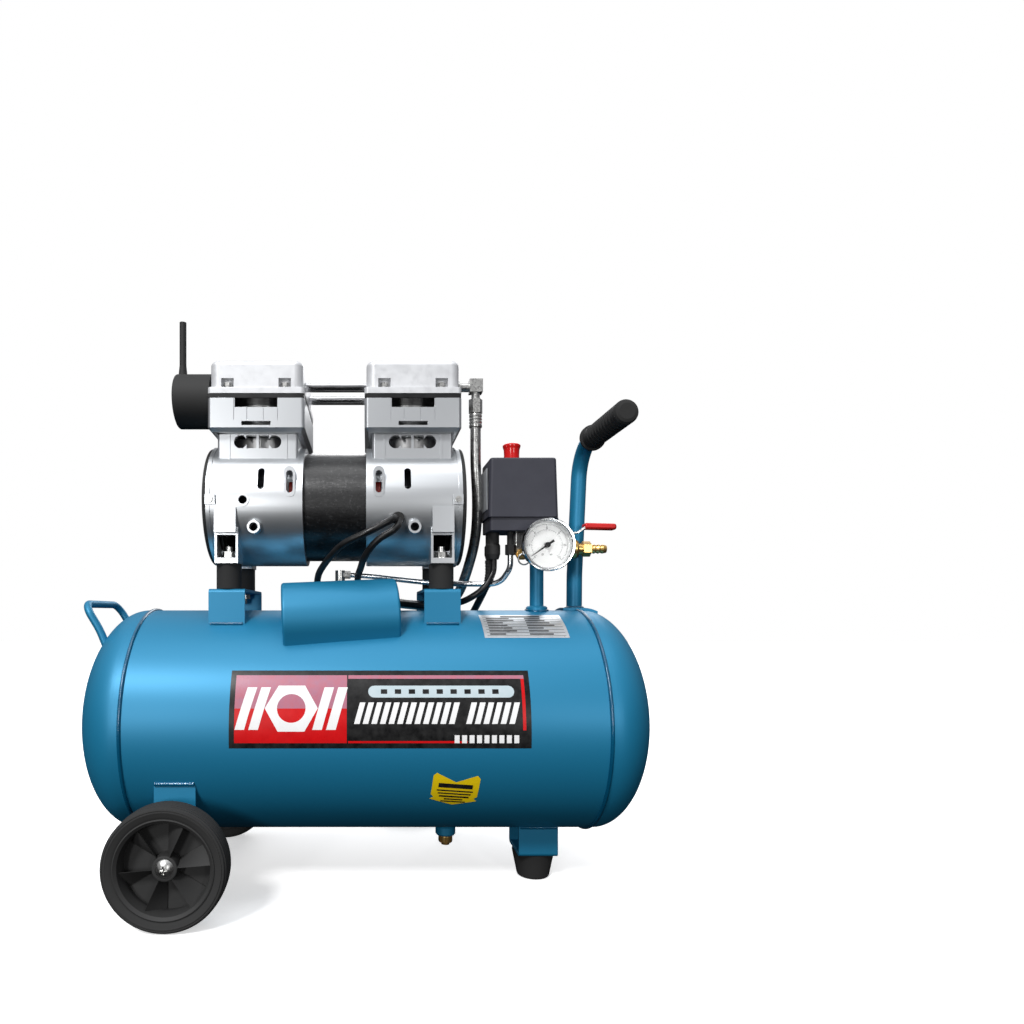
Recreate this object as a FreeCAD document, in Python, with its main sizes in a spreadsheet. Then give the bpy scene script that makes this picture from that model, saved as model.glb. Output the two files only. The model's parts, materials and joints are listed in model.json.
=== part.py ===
import FreeCAD, Part
import math
import os
import re
import Sketcher

# A 24-litre air compressor: a horizontal receiver on two wheels and a foot, with an oil-free
# twin-head pump, a pressure switch, a gauge and an outlet valve on top. Millimetres, +Z up.
# X runs along the tank, the pump's crankshaft too; Y runs across it, the front being -Y; Z=0 is the ground.

Vector = FreeCAD.Vector
Rotation = FreeCAD.Rotation
Placement = FreeCAD.Placement

SIZES = {
    # Tank
    "tank_radius": 117.5, "tank_wall": 2.5, "barrel_half": 239.0, "dish_depth": 58.8,
    "ground_clearance": 57.7, "sheet": 3.0,
    "bracket_rise": 22.0, "bracket_width": 37.3, "bracket_half_depth": 56.5,
    "rod_radius": 4.0, "carry_half_span": 48.0,
    # Rolling gear
    "wheel_radius": 57.7, "wheel_width": 27.0, "wheel_track_half": 133.0, "wheel_back": 182.5,
    "axle_radius": 6.0, "running_gap": 0.05, "hub_radius": 12.0, "bead_inset": 11.0,
    "axle_plate_y": 105.0, "axle_plate_half": 20.0, "axle_drop": 15.0, "wheel_washer": 2.0,
    "foot_forward": 185.0, "foot_height": 28.0, "foot_top_radius": 23.0, "foot_base_radius": 17.5,
    "foot_bracket_half_x": 21.0, "foot_bracket_half_y": 26.0,
    # Pump
    "pump_centre_x": -32.2, "mount_offset": 111.0, "mount_y": 43.0, "mount_radius": 12.9,
    "mount_height": 26.3, "stud_radius": 3.75, "foot_thickness": 5.5, "crank_height": 65.0,
    "bell_radius": 64.3, "bell_wall": 4.0, "stator_radius": 58.7, "stator_half": 32.5,
    "stator_bore": 29.4, "air_gap": 0.4, "winding_length": 15.0, "pump_half": 135.2, "end_cover": 4.2,
    "shaft_radius": 7.5, "bearing_radius": 17.5, "bearing_width": 11.0, "head_offset": 80.8,
    "block_half_x": 42.0, "block_half_y": 46.0, "deck_rise": 70.6,
    "casting_half_x": 50.0, "casting_half_y": 57.0, "casting_height": 34.2, "casting_wall": 5.0,
    "plate_thickness": 4.9, "flange_thickness": 6.3, "head_cover_height": 29.0, "head_cover_half_x": 48.0,
    "bore_radius": 30.0, "sleeve_wall": 3.0, "piston_gap": 0.1, "crank_throw": 9.0, "eye_gap": 1.0,
    "eye_wall": 6.5, "rod_half_width": 7.5, "piston_thickness": 10.0, "piston_rise": 90.0,
    "crossover_radius": 5.0, "crossover_y": 22.4, "muffler_radius": 28.5, "muffler_length": 39.0,
    "port_y": -22.0, "snorkel_radius": 3.6, "snorkel_height": 57.0, "fan_radius": 50.0,
    # Pipework and controls
    "hose_radius": 5.5, "unloader_radius": 3.0, "check_valve_x": -30.0, "check_valve_y": 30.0,
    "riser_x": 187.3, "riser_y": -8.0, "riser_radius": 7.4, "manifold_rise": 67.3, "manifold_half": 12.0,
    "gauge_radius": 27.3, "gauge_depth": 22.0, "gauge_reach": 20.0, "switch_rise": 84.3,
    "switch_base_height": 14.0, "switch_height": 63.0, "switch_left": 129.0, "switch_right": 203.0,
    "switch_front": -40.0, "switch_back": 14.0, "knob_travel": 7.0, "valve_x": 222.0, "valve_radius": 9.5,
    "valve_bore": 5.0, "lever_length": 51.5, "drain_x": 88.0, "drain_bore": 4.0, "handle_radius": 8.5,
    "handle_x": 235.5, "handle_y": 16.0, "handle_lean": 7.0, "handle_bend": 37.0, "handle_rise": 184.5,
    "grip_length": 100.0, "grip_wall": 3.2,
    # Capacitor and leads
    "cover_x": -27.0, "cover_length": 118.0, "cover_radius": 37.0, "cover_sheet": 1.5,
    "cover_angle": 24.5, "cover_skew": 6.0, "cover_lift": 4.5, "capacitor_radius": 17.5,
    "lead_radius": 3.5, "cord_radius": 4.0, "coil_turn_radius": 44.0,
}

FORMULAS = {
    "tank_axis_z": "ground_clearance + tank_radius",
    "tank_top_z": "tank_axis_z + tank_radius",
    "tank_end_x": "barrel_half + dish_depth",
    "bracket_top_z": "tank_top_z + bracket_rise",
    "mount_top_z": "bracket_top_z + mount_height",
    "pump_axis_z": "mount_top_z + crank_height",
    "deck_z": "pump_axis_z + deck_rise",
    "casting_top_z": "deck_z + casting_height",
    "plate_top_z": "casting_top_z + plate_thickness",
    "flange_top_z": "plate_top_z + flange_thickness",
    "head_top_z": "flange_top_z + head_cover_height",
    "port_z": "flange_top_z + 10.5",
    "muffler_z": "flange_top_z - 5",
    "sleeve_radius": "bore_radius + sleeve_wall",
    "bearing_start": "stator_half + winding_length + 1",
    "bearing_end": "bearing_start + bearing_width + 1",
    "eye_radius": "shaft_radius + crank_throw + eye_gap",
    "manifold_z": "tank_top_z + manifold_rise",
    "switch_z": "tank_top_z + switch_rise",
    "switch_cover_z": "switch_z + switch_base_height",
    "switch_top_z": "switch_cover_z + switch_height",
    "wheel_outer_y": "wheel_track_half + wheel_width / 2",
    "bead_radius": "wheel_radius - bead_inset",
    "axle_plate_outer": "axle_plate_y + sheet / 2",
    "bore_of_hub": "axle_radius + running_gap",
    "gauge_back_y": "riser_y - manifold_half - gauge_reach",
    "gauge_front_y": "gauge_back_y - gauge_depth",
    "handle_top_z": "tank_top_z + handle_rise",
    "lever_z": "manifold_z + valve_radius + 7",
}

document = FreeCAD.newDocument("air_compressor")
sheet = document.addObject("Spreadsheet::Sheet", "dims")
for row, (word, number) in enumerate(SIZES.items(), start=1):
    sheet.set(f"A{row}", word)
    sheet.set(f"B{row}", str(number))
    sheet.setAlias(f"B{row}", word)
document.recompute()

NODES = {}
AXIS_TURN = {
    "X": Rotation(Vector(0, 1, 0), 90),
    "Y": Rotation(Vector(1, 0, 0), -90),
    "Z": Rotation(),
}


def expand(text):
    """Writes a formula out in terms of the sheet's cells."""
    def replace(match):
        word = match.group(0)
        if word in FORMULAS:
            return f"({expand(FORMULAS[word])})"
        return f"dims.{word}" if word in SIZES else word
    return re.sub(r"[a-z][a-z_]*", replace, str(text))


def size(text):
    """The number that a formula has now, in millimetres or degrees."""
    return float(sheet.evalExpression(expand(text)))


def bind(piece, name, text):
    """Ties one property of a piece to a formula."""
    piece.setExpression(name, expand(text))


def place(piece, x, y, z, turn=None):
    """Puts a piece at a point given by formulas, turned by a fixed rotation."""
    piece.Placement = Placement(Vector(), turn or Rotation())
    for name, text in zip("xyz", (x, y, z)):
        bind(piece, f"Placement.Base.{name}", text)
    return piece


def box(x, y, z):
    """A block between two formulas on each axis, in either order."""
    piece = document.addObject("Part::Box", "block")
    for name, (low, high) in zip(("Length", "Width", "Height"), (x, y, z)):
        bind(piece, name, f"abs(({high}) - ({low}))")
    return place(piece, *(f"min({low}; {high})" for low, high in (x, y, z)))


def rod(axis, radius, start, end, across, up):
    """A cylinder along an axis; across and up are its other two coordinates, in X, Y, Z order."""
    piece = document.addObject("Part::Cylinder", "rod")
    bind(piece, "Radius", radius)
    bind(piece, "Height", f"abs(({end}) - ({start}))")
    first = f"min({start}; {end})"
    spot = {"X": (first, across, up), "Y": (across, first, up), "Z": (across, up, first)}[axis]
    return place(piece, *spot, AXIS_TURN[axis])


def hexagon(axis, radius, start, end, across, up):
    """A six-sided nut or bolt head along an axis; radius reaches its corners."""
    piece = document.addObject("Part::Prism", "hexagon")
    piece.Polygon = 6
    bind(piece, "Circumradius", radius)
    bind(piece, "Height", f"abs(({end}) - ({start}))")
    first = f"min({start}; {end})"
    spot = {"X": (first, across, up), "Y": (across, first, up), "Z": (across, up, first)}[axis]
    return place(piece, *spot, AXIS_TURN[axis])


def ring(x, y, z, radius, section, axis="Z"):
    """A torus about an axis, centred on a point."""
    piece = document.addObject("Part::Torus", "ring")
    bind(piece, "Radius1", radius)
    bind(piece, "Radius2", section)
    return place(piece, x, y, z, AXIS_TURN[axis])


def fuse(*pieces):
    """One solid from pieces that overlap."""
    joined = document.addObject("Part::MultiFuse", "joined")
    joined.Shapes = list(pieces)
    return joined


def cut(base, *tools):
    """A piece with the tools' spaces taken out."""
    result = document.addObject("Part::Cut", "cut")
    result.Base = base
    result.Tool = tools[0] if len(tools) == 1 else fuse(*tools)
    return result


def common(base, tool):
    """What two pieces share."""
    result = document.addObject("Part::Common", "common")
    result.Base = base
    result.Tool = tool
    return result


def group(*pieces):
    """Separate solids that share one node."""
    result = document.addObject("Part::Compound", "group")
    result.Links = list(pieces)
    return result


def fillet(base, radius, chooser):
    """Rounds the edges that the chooser picks by their middle and direction."""
    document.recompute()
    reach = size(radius)
    picked = []
    for index, edge in enumerate(base.Shape.Edges, start=1):
        middle = edge.valueAt((edge.FirstParameter + edge.LastParameter) / 2)
        if chooser(edge, middle):
            picked.append((index, reach, reach))
    result = document.addObject("Part::Fillet", "rounded")
    result.Base = base
    result.Edges = picked
    return result


def along(edge, axis):
    """Whether an edge is a straight one parallel to an axis."""
    ends = [vertex.Point for vertex in edge.Vertexes]
    if len(ends) != 2 or not isinstance(edge.Curve, Part.Line):
        return False
    step = (ends[1] - ends[0]).normalize()
    return abs(abs(step.dot(axis)) - 1) < 1e-6


def origin_plane(body, role):
    """One of a body's own origin planes."""
    return next(plane for plane in body.Origin.OriginFeatures if plane.Role == role)


def outline_sketch(body, name, role, points):
    """A closed outline of straight runs, each corner tied to its two formulas."""
    sketch = body.newObject("Sketcher::SketchObject", name)
    sketch.AttachmentSupport = [(origin_plane(body, role), "")]
    sketch.MapMode = "FlatFace"
    spots = [Vector(size(first), size(second), 0) for first, second in points]
    count = len(spots)
    for index in range(count):
        sketch.addGeometry(Part.LineSegment(spots[index], spots[(index + 1) % count]), False)
    for index in range(count):
        sketch.addConstraint(Sketcher.Constraint("Coincident", index, 2, (index + 1) % count, 1))
    for index, pair in enumerate(points):
        values = (spots[index].x, spots[index].y)
        for kind, text, value in zip(("DistanceX", "DistanceY"), pair, values):
            number = sketch.addConstraint(Sketcher.Constraint(kind, -1, 1, index, 1, value))
            sketch.setExpression(f"Constraints[{number}]", expand(text))
    return sketch


def turned(axis, x, y, z, profile):
    """A lathe-turned body: profile points are (radius, distance along the axis from the point)."""
    body = document.addObject("PartDesign::Body", "turned_body")
    sketch = outline_sketch(body, "profile", "XZ_Plane", profile)
    spin = body.newObject("PartDesign::Revolution", "spin")
    spin.Profile = sketch
    spin.ReferenceAxis = (sketch, ["V_Axis"])
    spin.Angle = 360
    sketch.Visibility = False
    return place(body, x, y, z, AXIS_TURN[axis])


def rounded_path(points, bend=None):
    """Straight runs joined by tangent arcs of a given bend, or each as large as its two runs allow."""
    spots = [Vector(*(size(text) for text in point)) for point in points]
    edges = []
    radii = []
    start = spots[0]
    for index in range(1, len(spots) - 1):
        before, corner, after = spots[index - 1:index + 2]
        inward = (before - corner).normalize()
        outward = (after - corner).normalize()
        turn = math.pi - inward.getAngle(outward)
        setback = 0.45 * min((before - corner).Length, (after - corner).Length)
        if bend is not None:
            setback = size(bend) * math.tan(turn / 2)
        radius = setback / math.tan(turn / 2)
        first = corner + inward * setback
        last = corner + outward * setback
        bisector = (inward + outward).normalize()
        middle = corner + bisector * (radius / math.cos(turn / 2) - radius)
        edges.append(Part.LineSegment(start, first).toShape())
        edges.append(Part.Arc(first, middle, last).toShape())
        radii.append(radius)
        start = last
    edges.append(Part.LineSegment(start, spots[-1]).toShape())
    return Part.Wire(edges), radii


def swept(points, radius, bore=None, bend=None):
    """A round bar or tube along a rounded path, with its radii, its fullness and its length."""
    wire, radii = rounded_path(points, bend)
    start = wire.Edges[0].valueAt(wire.Edges[0].FirstParameter)
    heading = wire.Edges[0].tangentAt(wire.Edges[0].FirstParameter)

    def pipe(reach):
        circle = Part.Wire([Part.makeCircle(size(reach), start, heading)])
        return wire.makePipeShell([circle], True, False)
    solid = pipe(radius)
    if bore is not None:
        solid = solid.cut(pipe(bore))
    section = math.pi * (size(radius) ** 2 - (size(bore) ** 2 if bore is not None else 0))
    return solid, radii, solid.Volume / (section * wire.Length), wire.Length


def routed(name, points, radius, bore=None, bend=None, report=False):
    """A bar, tube, hose or lead along its route."""
    solid, radii, fullness, length = swept(points, radius, bore, bend)
    piece = document.addObject("Part::Feature", name)
    piece.Shape = solid
    piece.Placement = Placement()
    if report:
        print(f"{name}: length {length:.0f}, volume ratio {fullness:.3f}, radii",
              " ".join(f"{bend:.0f}" for bend in radii))
    return piece


def node(name, piece):
    """Names a finished sub-part and keeps it for export."""
    piece.Label = name
    NODES[name] = piece
    return piece


def tank_outside(extra="0"):
    """The space the tank's barrel fills, as a tool for what is welded to it."""
    return rod("X", f"tank_radius + ({extra})", "-barrel_half", "barrel_half", "0", "tank_axis_z")


def dished_form(side, extra="0"):
    """The ellipsoid of one dished end, grown by a margin."""
    dome = document.addObject("Part::Ellipsoid", "dome")
    bind(dome, "Radius1", f"dish_depth + ({extra})")
    bind(dome, "Radius2", f"tank_radius + ({extra})")
    bind(dome, "Radius3", f"tank_radius + ({extra})")
    return place(dome, f"{side} * barrel_half", "0", "tank_axis_z", AXIS_TURN["X"])


def tank_form(extra="0"):
    """The barrel and the right end together, for what stands across their seam."""
    return fuse(tank_outside(extra), dished_form(1, extra))


def pump_x(side, offset):
    """A place along the crankshaft, from the pump's middle: side is -1 for left, 1 for right."""
    return f"pump_centre_x + {side} * ({offset})"


def head_x(side, offset="0"):
    """A place beside a cylinder's axis, counted away from the pump's middle."""
    return pump_x(side, f"head_offset + ({offset})")


SIDES = ((-1, "left"), (1, "right"))
DEPTHS = (-1, 1)


# ---------------------------------------------------------------- receiver

def make_tank():
    """Rolled barrel, two dished ends, and the sockets that the fittings screw into."""
    shell = turned("X", "-barrel_half", "0", "tank_axis_z", [
        ("tank_radius - tank_wall", "0"), ("tank_radius", "0"),
        ("tank_radius", "2 * barrel_half"), ("tank_radius - tank_wall", "2 * barrel_half")])
    openings = [
        rod("Z", "riser_radius", "tank_axis_z", "tank_top_z + 5", "riser_x", "riser_y"),
        rod("Z", "8", "tank_axis_z", "tank_top_z + 5", "check_valve_x", "check_valve_y"),
        rod("Z", "9", "0", "tank_axis_z", "drain_x", "0"),
    ]
    socket = turned("Z", "drain_x", "0", "ground_clearance - 13", [
        ("drain_bore", "0"), ("9.8", "0"), ("11", "1.5"), ("11", "9"), ("13", "13.4"), ("9", "13.4"),
        ("9", "15"), ("drain_bore", "15")])
    node("tank_shell", fuse(cut(shell, *openings), socket))
    for side, word in SIDES:
        domes = [dished_form(side), dished_form(side, "-tank_wall")]
        half = box((f"{side} * barrel_half", f"{side} * (tank_end_x + 5)"), ("-tank_radius", "tank_radius"),
                   ("tank_axis_z - tank_radius", "tank_top_z"))
        node(f"tank_end_{word}", common(cut(*domes), half))
    screw = turned("Z", "drain_x", "0", "ground_clearance - 24", [
        ("0", "0"), ("4.5", "0"), ("4.5", "2"), ("7", "2.6"), ("7.75", "3.6"), ("7.75", "9"),
        ("7", "10.6"), ("drain_bore - running_gap", "10.6"), ("drain_bore - running_gap", "22"), ("0", "22")])
    grooves = [box(("drain_x - 0.7", "drain_x + 0.7"), ("6.6", "9"),
                   ("ground_clearance - 21", "ground_clearance - 14"))]
    for index in range(1, 8):
        turn = Rotation(Vector(0, 0, 1), 45 * index)
        tooth = document.addObject("Part::Box", "knurl")
        tooth.Length, tooth.Width, tooth.Height = 1.4, 2.4, 7
        corner = turn.multVec(Vector(-0.7, 6.6, 0))
        place(tooth, f"drain_x + {corner.x}", f"{corner.y}", "ground_clearance - 21", turn)
        grooves.append(tooth)
    node("drain_screw", cut(screw, *grooves))


def make_pump_brackets():
    """Two bent-sheet saddles across the tank's top, open along the crankshaft."""
    brackets = []
    for side, _ in SIDES:
        middle = pump_x(side, "mount_offset")
        wide = (f"{middle} - bracket_width / 2", f"{middle} + bracket_width / 2")
        hull = box(wide, ("-bracket_half_depth", "bracket_half_depth"), ("tank_axis_z", "bracket_top_z"))
        bent = fillet(hull, "sheet + 1", lambda edge, spot: along(edge, Vector(1, 0, 0))
                      and spot.z > size("bracket_top_z") - 1)
        inside = box((f"{middle} - bracket_width", f"{middle} + bracket_width"),
                     ("-bracket_half_depth + sheet", "bracket_half_depth - sheet"),
                     ("tank_axis_z - 1", "bracket_top_z - sheet"))
        holes = [rod("Z", "stud_radius", "bracket_top_z - 10", "bracket_top_z + 1", middle,
                     f"{depth} * mount_y") for depth in DEPTHS]
        brackets.append(cut(bent, inside, tank_outside(), *holes))
    node("pump_brackets", group(*brackets))


def make_handles():
    """Bent-rod carrying handle on the left end, and the tube handle with its rubber grip."""
    end = "-(tank_end_x - rod_radius - 0.8)"
    low = "tank_axis_z + 77"
    reach = [("-barrel_half - 30", low), ("-barrel_half - 37", "tank_axis_z + 96"),
             (end, "tank_axis_z + 124")]
    points = [(x, "-carry_half_span", z) for x, z in reach]
    points += [(x, "carry_half_span", z) for x, z in reversed(reach)]
    bar = routed("carry_bar", points, "rod_radius")
    node("carry_handle", cut(bar, dished_form(-1)))

    top_x = "handle_x + handle_lean"
    corner_y = "handle_y - handle_bend"
    route = [("handle_x", "handle_y", "tank_axis_z + 100"), ("handle_x + 0.5", "handle_y", "tank_top_z + 40"),
             (top_x, "handle_y", "handle_top_z"),
             (top_x, f"{corner_y} - grip_length - 2", "handle_top_z")]
    tube = routed("handle_tube", route, "handle_radius", "handle_radius - 1.5", bend="handle_bend")
    saddle = common(cut(tank_form("sheet"), tank_form()),
                    box(("handle_x - 19", "handle_x + 19"), ("handle_y - 24", "handle_y + 24"),
                        ("tank_axis_z", "tank_top_z + 10")))
    node("pull_handle", fuse(cut(tube, tank_form("sheet / 2")), saddle))
    profile = [("0", "0"), ("handle_radius - 1", "0"), ("handle_radius + grip_wall - 1.5", "1"),
               ("handle_radius + grip_wall", "3.5")]
    for index in range(9):
        groove = 14 + 8 * index
        profile += [("handle_radius + grip_wall", f"{groove}"),
                    ("handle_radius + grip_wall - 1.3", f"{groove + 1}"),
                    ("handle_radius + grip_wall - 1.3", f"{groove + 3}"),
                    ("handle_radius + grip_wall", f"{groove + 4}")]
    profile += [("handle_radius + grip_wall", "grip_length - 4"),
                ("handle_radius + grip_wall + 2", "grip_length - 3"),
                ("handle_radius + grip_wall + 2", "grip_length"),
                ("handle_radius + running_gap", "grip_length"),
                ("handle_radius + running_gap", "3"), ("0", "3")]
    node("handle_grip", turned("Y", top_x, f"{corner_y} - grip_length - 5", "handle_top_z", profile))


def make_capacitor():
    """A half-round sheet cover welded a little askew on the tank's shoulder, and the capacitor in it."""
    lean = Rotation(Vector(1, 0, 0), size("cover_angle"))
    turn = lean.multiply(Rotation(Vector(0, 0, 1), size("cover_skew")))
    seat = ("cover_x", "-tank_radius * sin(cover_angle * 1deg)",
            "tank_axis_z + tank_radius * cos(cover_angle * 1deg)")

    def half_round(inset):
        back = f"-cover_length / 2 + {inset}"
        front = f"cover_length / 2 - {inset}"
        reach = f"cover_radius - {inset}"
        crown = rod("X", reach, back, front, "0", "cover_lift")
        sides = box((back, front), (f"-({reach})", reach), ("-22", "cover_lift"))
        return fuse(crown, sides)
    outside = half_round("0")
    rounded = fillet(outside, "3", lambda edge, spot: abs(abs(spot.x) - size("cover_length / 2")) < 0.1
                     and spot.z > size("cover_lift") + 1)
    inside = half_round("cover_sheet")
    for piece in (rounded, inside):
        place(piece, *seat, turn)
    node("capacitor_cover", cut(cut(rounded, inside), tank_outside()))
    can = rod("X", "capacitor_radius", "-46", "46", "0", "capacitor_radius + 2.5")
    holder = group(can)
    place(holder, *seat, turn)
    node("capacitor", holder)


# ---------------------------------------------------------------- rolling gear

def make_wheels():
    """Two wheels on shoulder bolts, the plates that carry them, and the front foot."""
    plates = []
    bolts = []
    for depth, word in zip(DEPTHS, ("front", "back")):
        plate = box(("-wheel_back - axle_plate_half", "-wheel_back + axle_plate_half"),
                    (f"{depth} * (axle_plate_y - sheet / 2)", f"{depth} * (axle_plate_y + sheet / 2)"),
                    ("ground_clearance - axle_drop", "tank_axis_z - 30"))
        shaped = fillet(plate, "12", lambda edge, spot: along(edge, Vector(0, 1, 0))
                        and spot.z < size("ground_clearance"))
        lip = box(("-wheel_back - axle_plate_half", "-wheel_back - axle_plate_half + sheet"),
                  (f"{depth} * (axle_plate_y - sheet / 2)", f"{depth} * (axle_plate_y - 26)"),
                  ("ground_clearance + 4", "tank_axis_z - 30"))
        hole = rod("Y", "axle_radius", f"{depth} * (axle_plate_y - 10)", f"{depth} * (axle_plate_y + 10)",
                   "-wheel_back", "wheel_radius")
        plates.append(cut(fuse(shaped, lip), tank_outside(), hole))

        side = "-1" if depth < 0 else "1"
        shank = rod("Y", "axle_radius", f"{side} * (axle_plate_y - 9)", f"{side} * (wheel_outer_y - 9)",
                    "-wheel_back", "wheel_radius")
        crown = document.addObject("Part::Sphere", "crown")
        bind(crown, "Radius", "11.5")
        place(crown, "-wheel_back", f"{side} * (wheel_outer_y - 13.5)", "wheel_radius")
        cap = common(crown, rod("Y", "9.5", f"{side} * (wheel_outer_y - 9)", f"{side} * (wheel_outer_y - 1)",
                                "-wheel_back", "wheel_radius"))
        cross = [box(("-wheel_back - 4", "-wheel_back + 4"),
                     (f"{side} * (wheel_outer_y - 4.5)", f"{side} * wheel_outer_y"),
                     ("wheel_radius - 0.9", "wheel_radius + 0.9")),
                 box(("-wheel_back - 0.9", "-wheel_back + 0.9"),
                     (f"{side} * (wheel_outer_y - 4.5)", f"{side} * wheel_outer_y"),
                     ("wheel_radius - 4", "wheel_radius + 4"))]
        nut = hexagon("Y", "10.4", f"{side} * (axle_plate_y - sheet / 2)",
                      f"{side} * (axle_plate_y - sheet / 2 - 7)", "-wheel_back", "wheel_radius")
        washer = rod("Y", "11", f"{side} * axle_plate_outer", f"{side} * (axle_plate_outer + wheel_washer)",
                     "-wheel_back", "wheel_radius")
        bolts.append(fuse(shank, cut(cap, *cross), nut, washer))

        half = "wheel_width / 2"
        tread = [("bead_radius", f"-({half}) + 1"), ("bead_radius + 2", f"-({half})"),
                 ("wheel_radius - 4.5", f"-({half})"), ("wheel_radius - 1.4", f"-({half}) + 1.6"),
                 ("wheel_radius", f"-({half}) + 4.5")]
        for groove in (-6, 0, 6):
            tread += [("wheel_radius", f"{groove} - 1.2"), ("wheel_radius - 1.6", f"{groove} - 0.7"),
                      ("wheel_radius - 1.6", f"{groove} + 0.7"), ("wheel_radius", f"{groove} + 1.2")]
        tread += [("wheel_radius", f"{half} - 4.5"), ("wheel_radius - 1.4", f"{half} - 1.6"),
                  ("wheel_radius - 4.5", half), ("bead_radius + 2", half), ("bead_radius", f"{half} - 1")]
        node(f"tyre_{word}", turned("Y", "-wheel_back", f"{depth} * wheel_track_half", "wheel_radius", tread))

        # The hub's plate is dished, with six vanes between the boss and the rim.
        out = depth
        rim = [("bore_of_hub", f"{out} * ({half} - 9.3)"), ("hub_radius", f"{out} * ({half} - 9.3)"),
               ("hub_radius", f"{out} * ({half} - 17)"), ("bead_radius - 6", f"{out} * ({half} - 17)"),
               ("bead_radius - 3", f"{out} * ({half} - 3)"), ("bead_radius", f"{out} * ({half} - 1)"),
               ("bead_radius", f"-{out} * ({half} - 1)"), ("bead_radius - 3", f"-{out} * ({half} - 3)"),
               ("bead_radius - 5", f"-{out} * ({half} - 7)"), ("hub_radius", f"-{out} * ({half} - 7)"),
               ("hub_radius", f"-{out} * (wheel_track_half - axle_plate_outer - wheel_washer - 0.3)"),
               ("bore_of_hub", f"-{out} * (wheel_track_half - axle_plate_outer - wheel_washer - 0.3)")]
        hub = turned("Y", "-wheel_back", f"{depth} * wheel_track_half", "wheel_radius", rim)
        vanes = []
        for index in range(6):
            angle = 60 * index + 30
            vane = document.addObject("Part::Box", "vane")
            bind(vane, "Length", "bead_radius - hub_radius - 2")
            bind(vane, "Width", "9")
            vane.Height = 3
            turn = Rotation(Vector(0, 1, 0), angle)
            start = turn.multVec(Vector(size("hub_radius") - 1, 0, -1.5))
            low = f"{depth} * wheel_track_half + {'0' if depth > 0 else '-9'} - {depth} * 4.5"
            place(vane, f"-wheel_back + {start.x}", low, f"wheel_radius + {start.z}", turn)
            vanes.append(vane)
        node(f"wheel_{word}", fuse(hub, *vanes))
    node("axle_brackets", group(*plates))

    wide = ("foot_forward - foot_bracket_half_x", "foot_forward + foot_bracket_half_x")
    hull = box(wide, ("-foot_bracket_half_y", "foot_bracket_half_y"), ("foot_height", "tank_axis_z - 50"))
    bent = fillet(hull, "sheet + 1", lambda edge, spot: along(edge, Vector(1, 0, 0))
                  and spot.z < size("foot_height") + 1)
    inside = box(("foot_forward - 60", "foot_forward + 60"),
                 ("-foot_bracket_half_y + sheet", "foot_bracket_half_y - sheet"),
                 ("foot_height + sheet", "tank_axis_z"))
    hole = rod("Z", "stud_radius", "foot_height - 5", "foot_height + 10", "foot_forward", "0")
    node("foot_bracket", cut(bent, inside, tank_outside(), hole))
    node("rubber_foot", turned("Z", "foot_forward", "0", "0", [
        ("9", "0"), ("foot_base_radius - 1.5", "0"), ("foot_base_radius", "1.5"),
        ("foot_top_radius", "foot_height"), ("stud_radius", "foot_height"), ("stud_radius", "6"), ("9", "6")]))
    shank = rod("Z", "stud_radius", "4", "foot_height + 12", "foot_forward", "0")
    head = hexagon("Z", "7", "2.5", "6", "foot_forward", "0")
    nut = hexagon("Z", "7.4", "foot_height + sheet", "foot_height + sheet + 6", "foot_forward", "0")
    node("chassis_bolts", group(*bolts, fuse(shank, head, nut)))


# ---------------------------------------------------------------- pump

# Openings in the front of each bell: distance from the pump's middle and rise above the crankshaft.
OUTER_SLOT = (75.0, 21.5)
INNER_SLOT = (45.4, 17.6)
LOW_PORT = (82.0, -28.5)
MIDDLE_PORT = (93.0, -1.0)
LEAD_PORT = (65.0, -20.0)
SLOT_HALF_WIDTH = 3.4
SLOT_HALF_HEIGHT = 11.4


def slot_block(side, spot, margin, depth_range, half_height=SLOT_HALF_HEIGHT):
    """An upright slot's space, round at both ends."""
    x = pump_x(side, spot[0])
    middle = f"pump_axis_z + {spot[1]}"
    reach = SLOT_HALF_WIDTH + margin
    straight = half_height - SLOT_HALF_WIDTH
    low, high = depth_range
    return fuse(box((f"{x} - {reach}", f"{x} + {reach}"), depth_range,
                    (f"{middle} - {straight}", f"{middle} + {straight}")),
                rod("Y", str(reach), low, high, x, f"{middle} - {straight}"),
                rod("Y", str(reach), low, high, x, f"{middle} + {straight}"))


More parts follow.
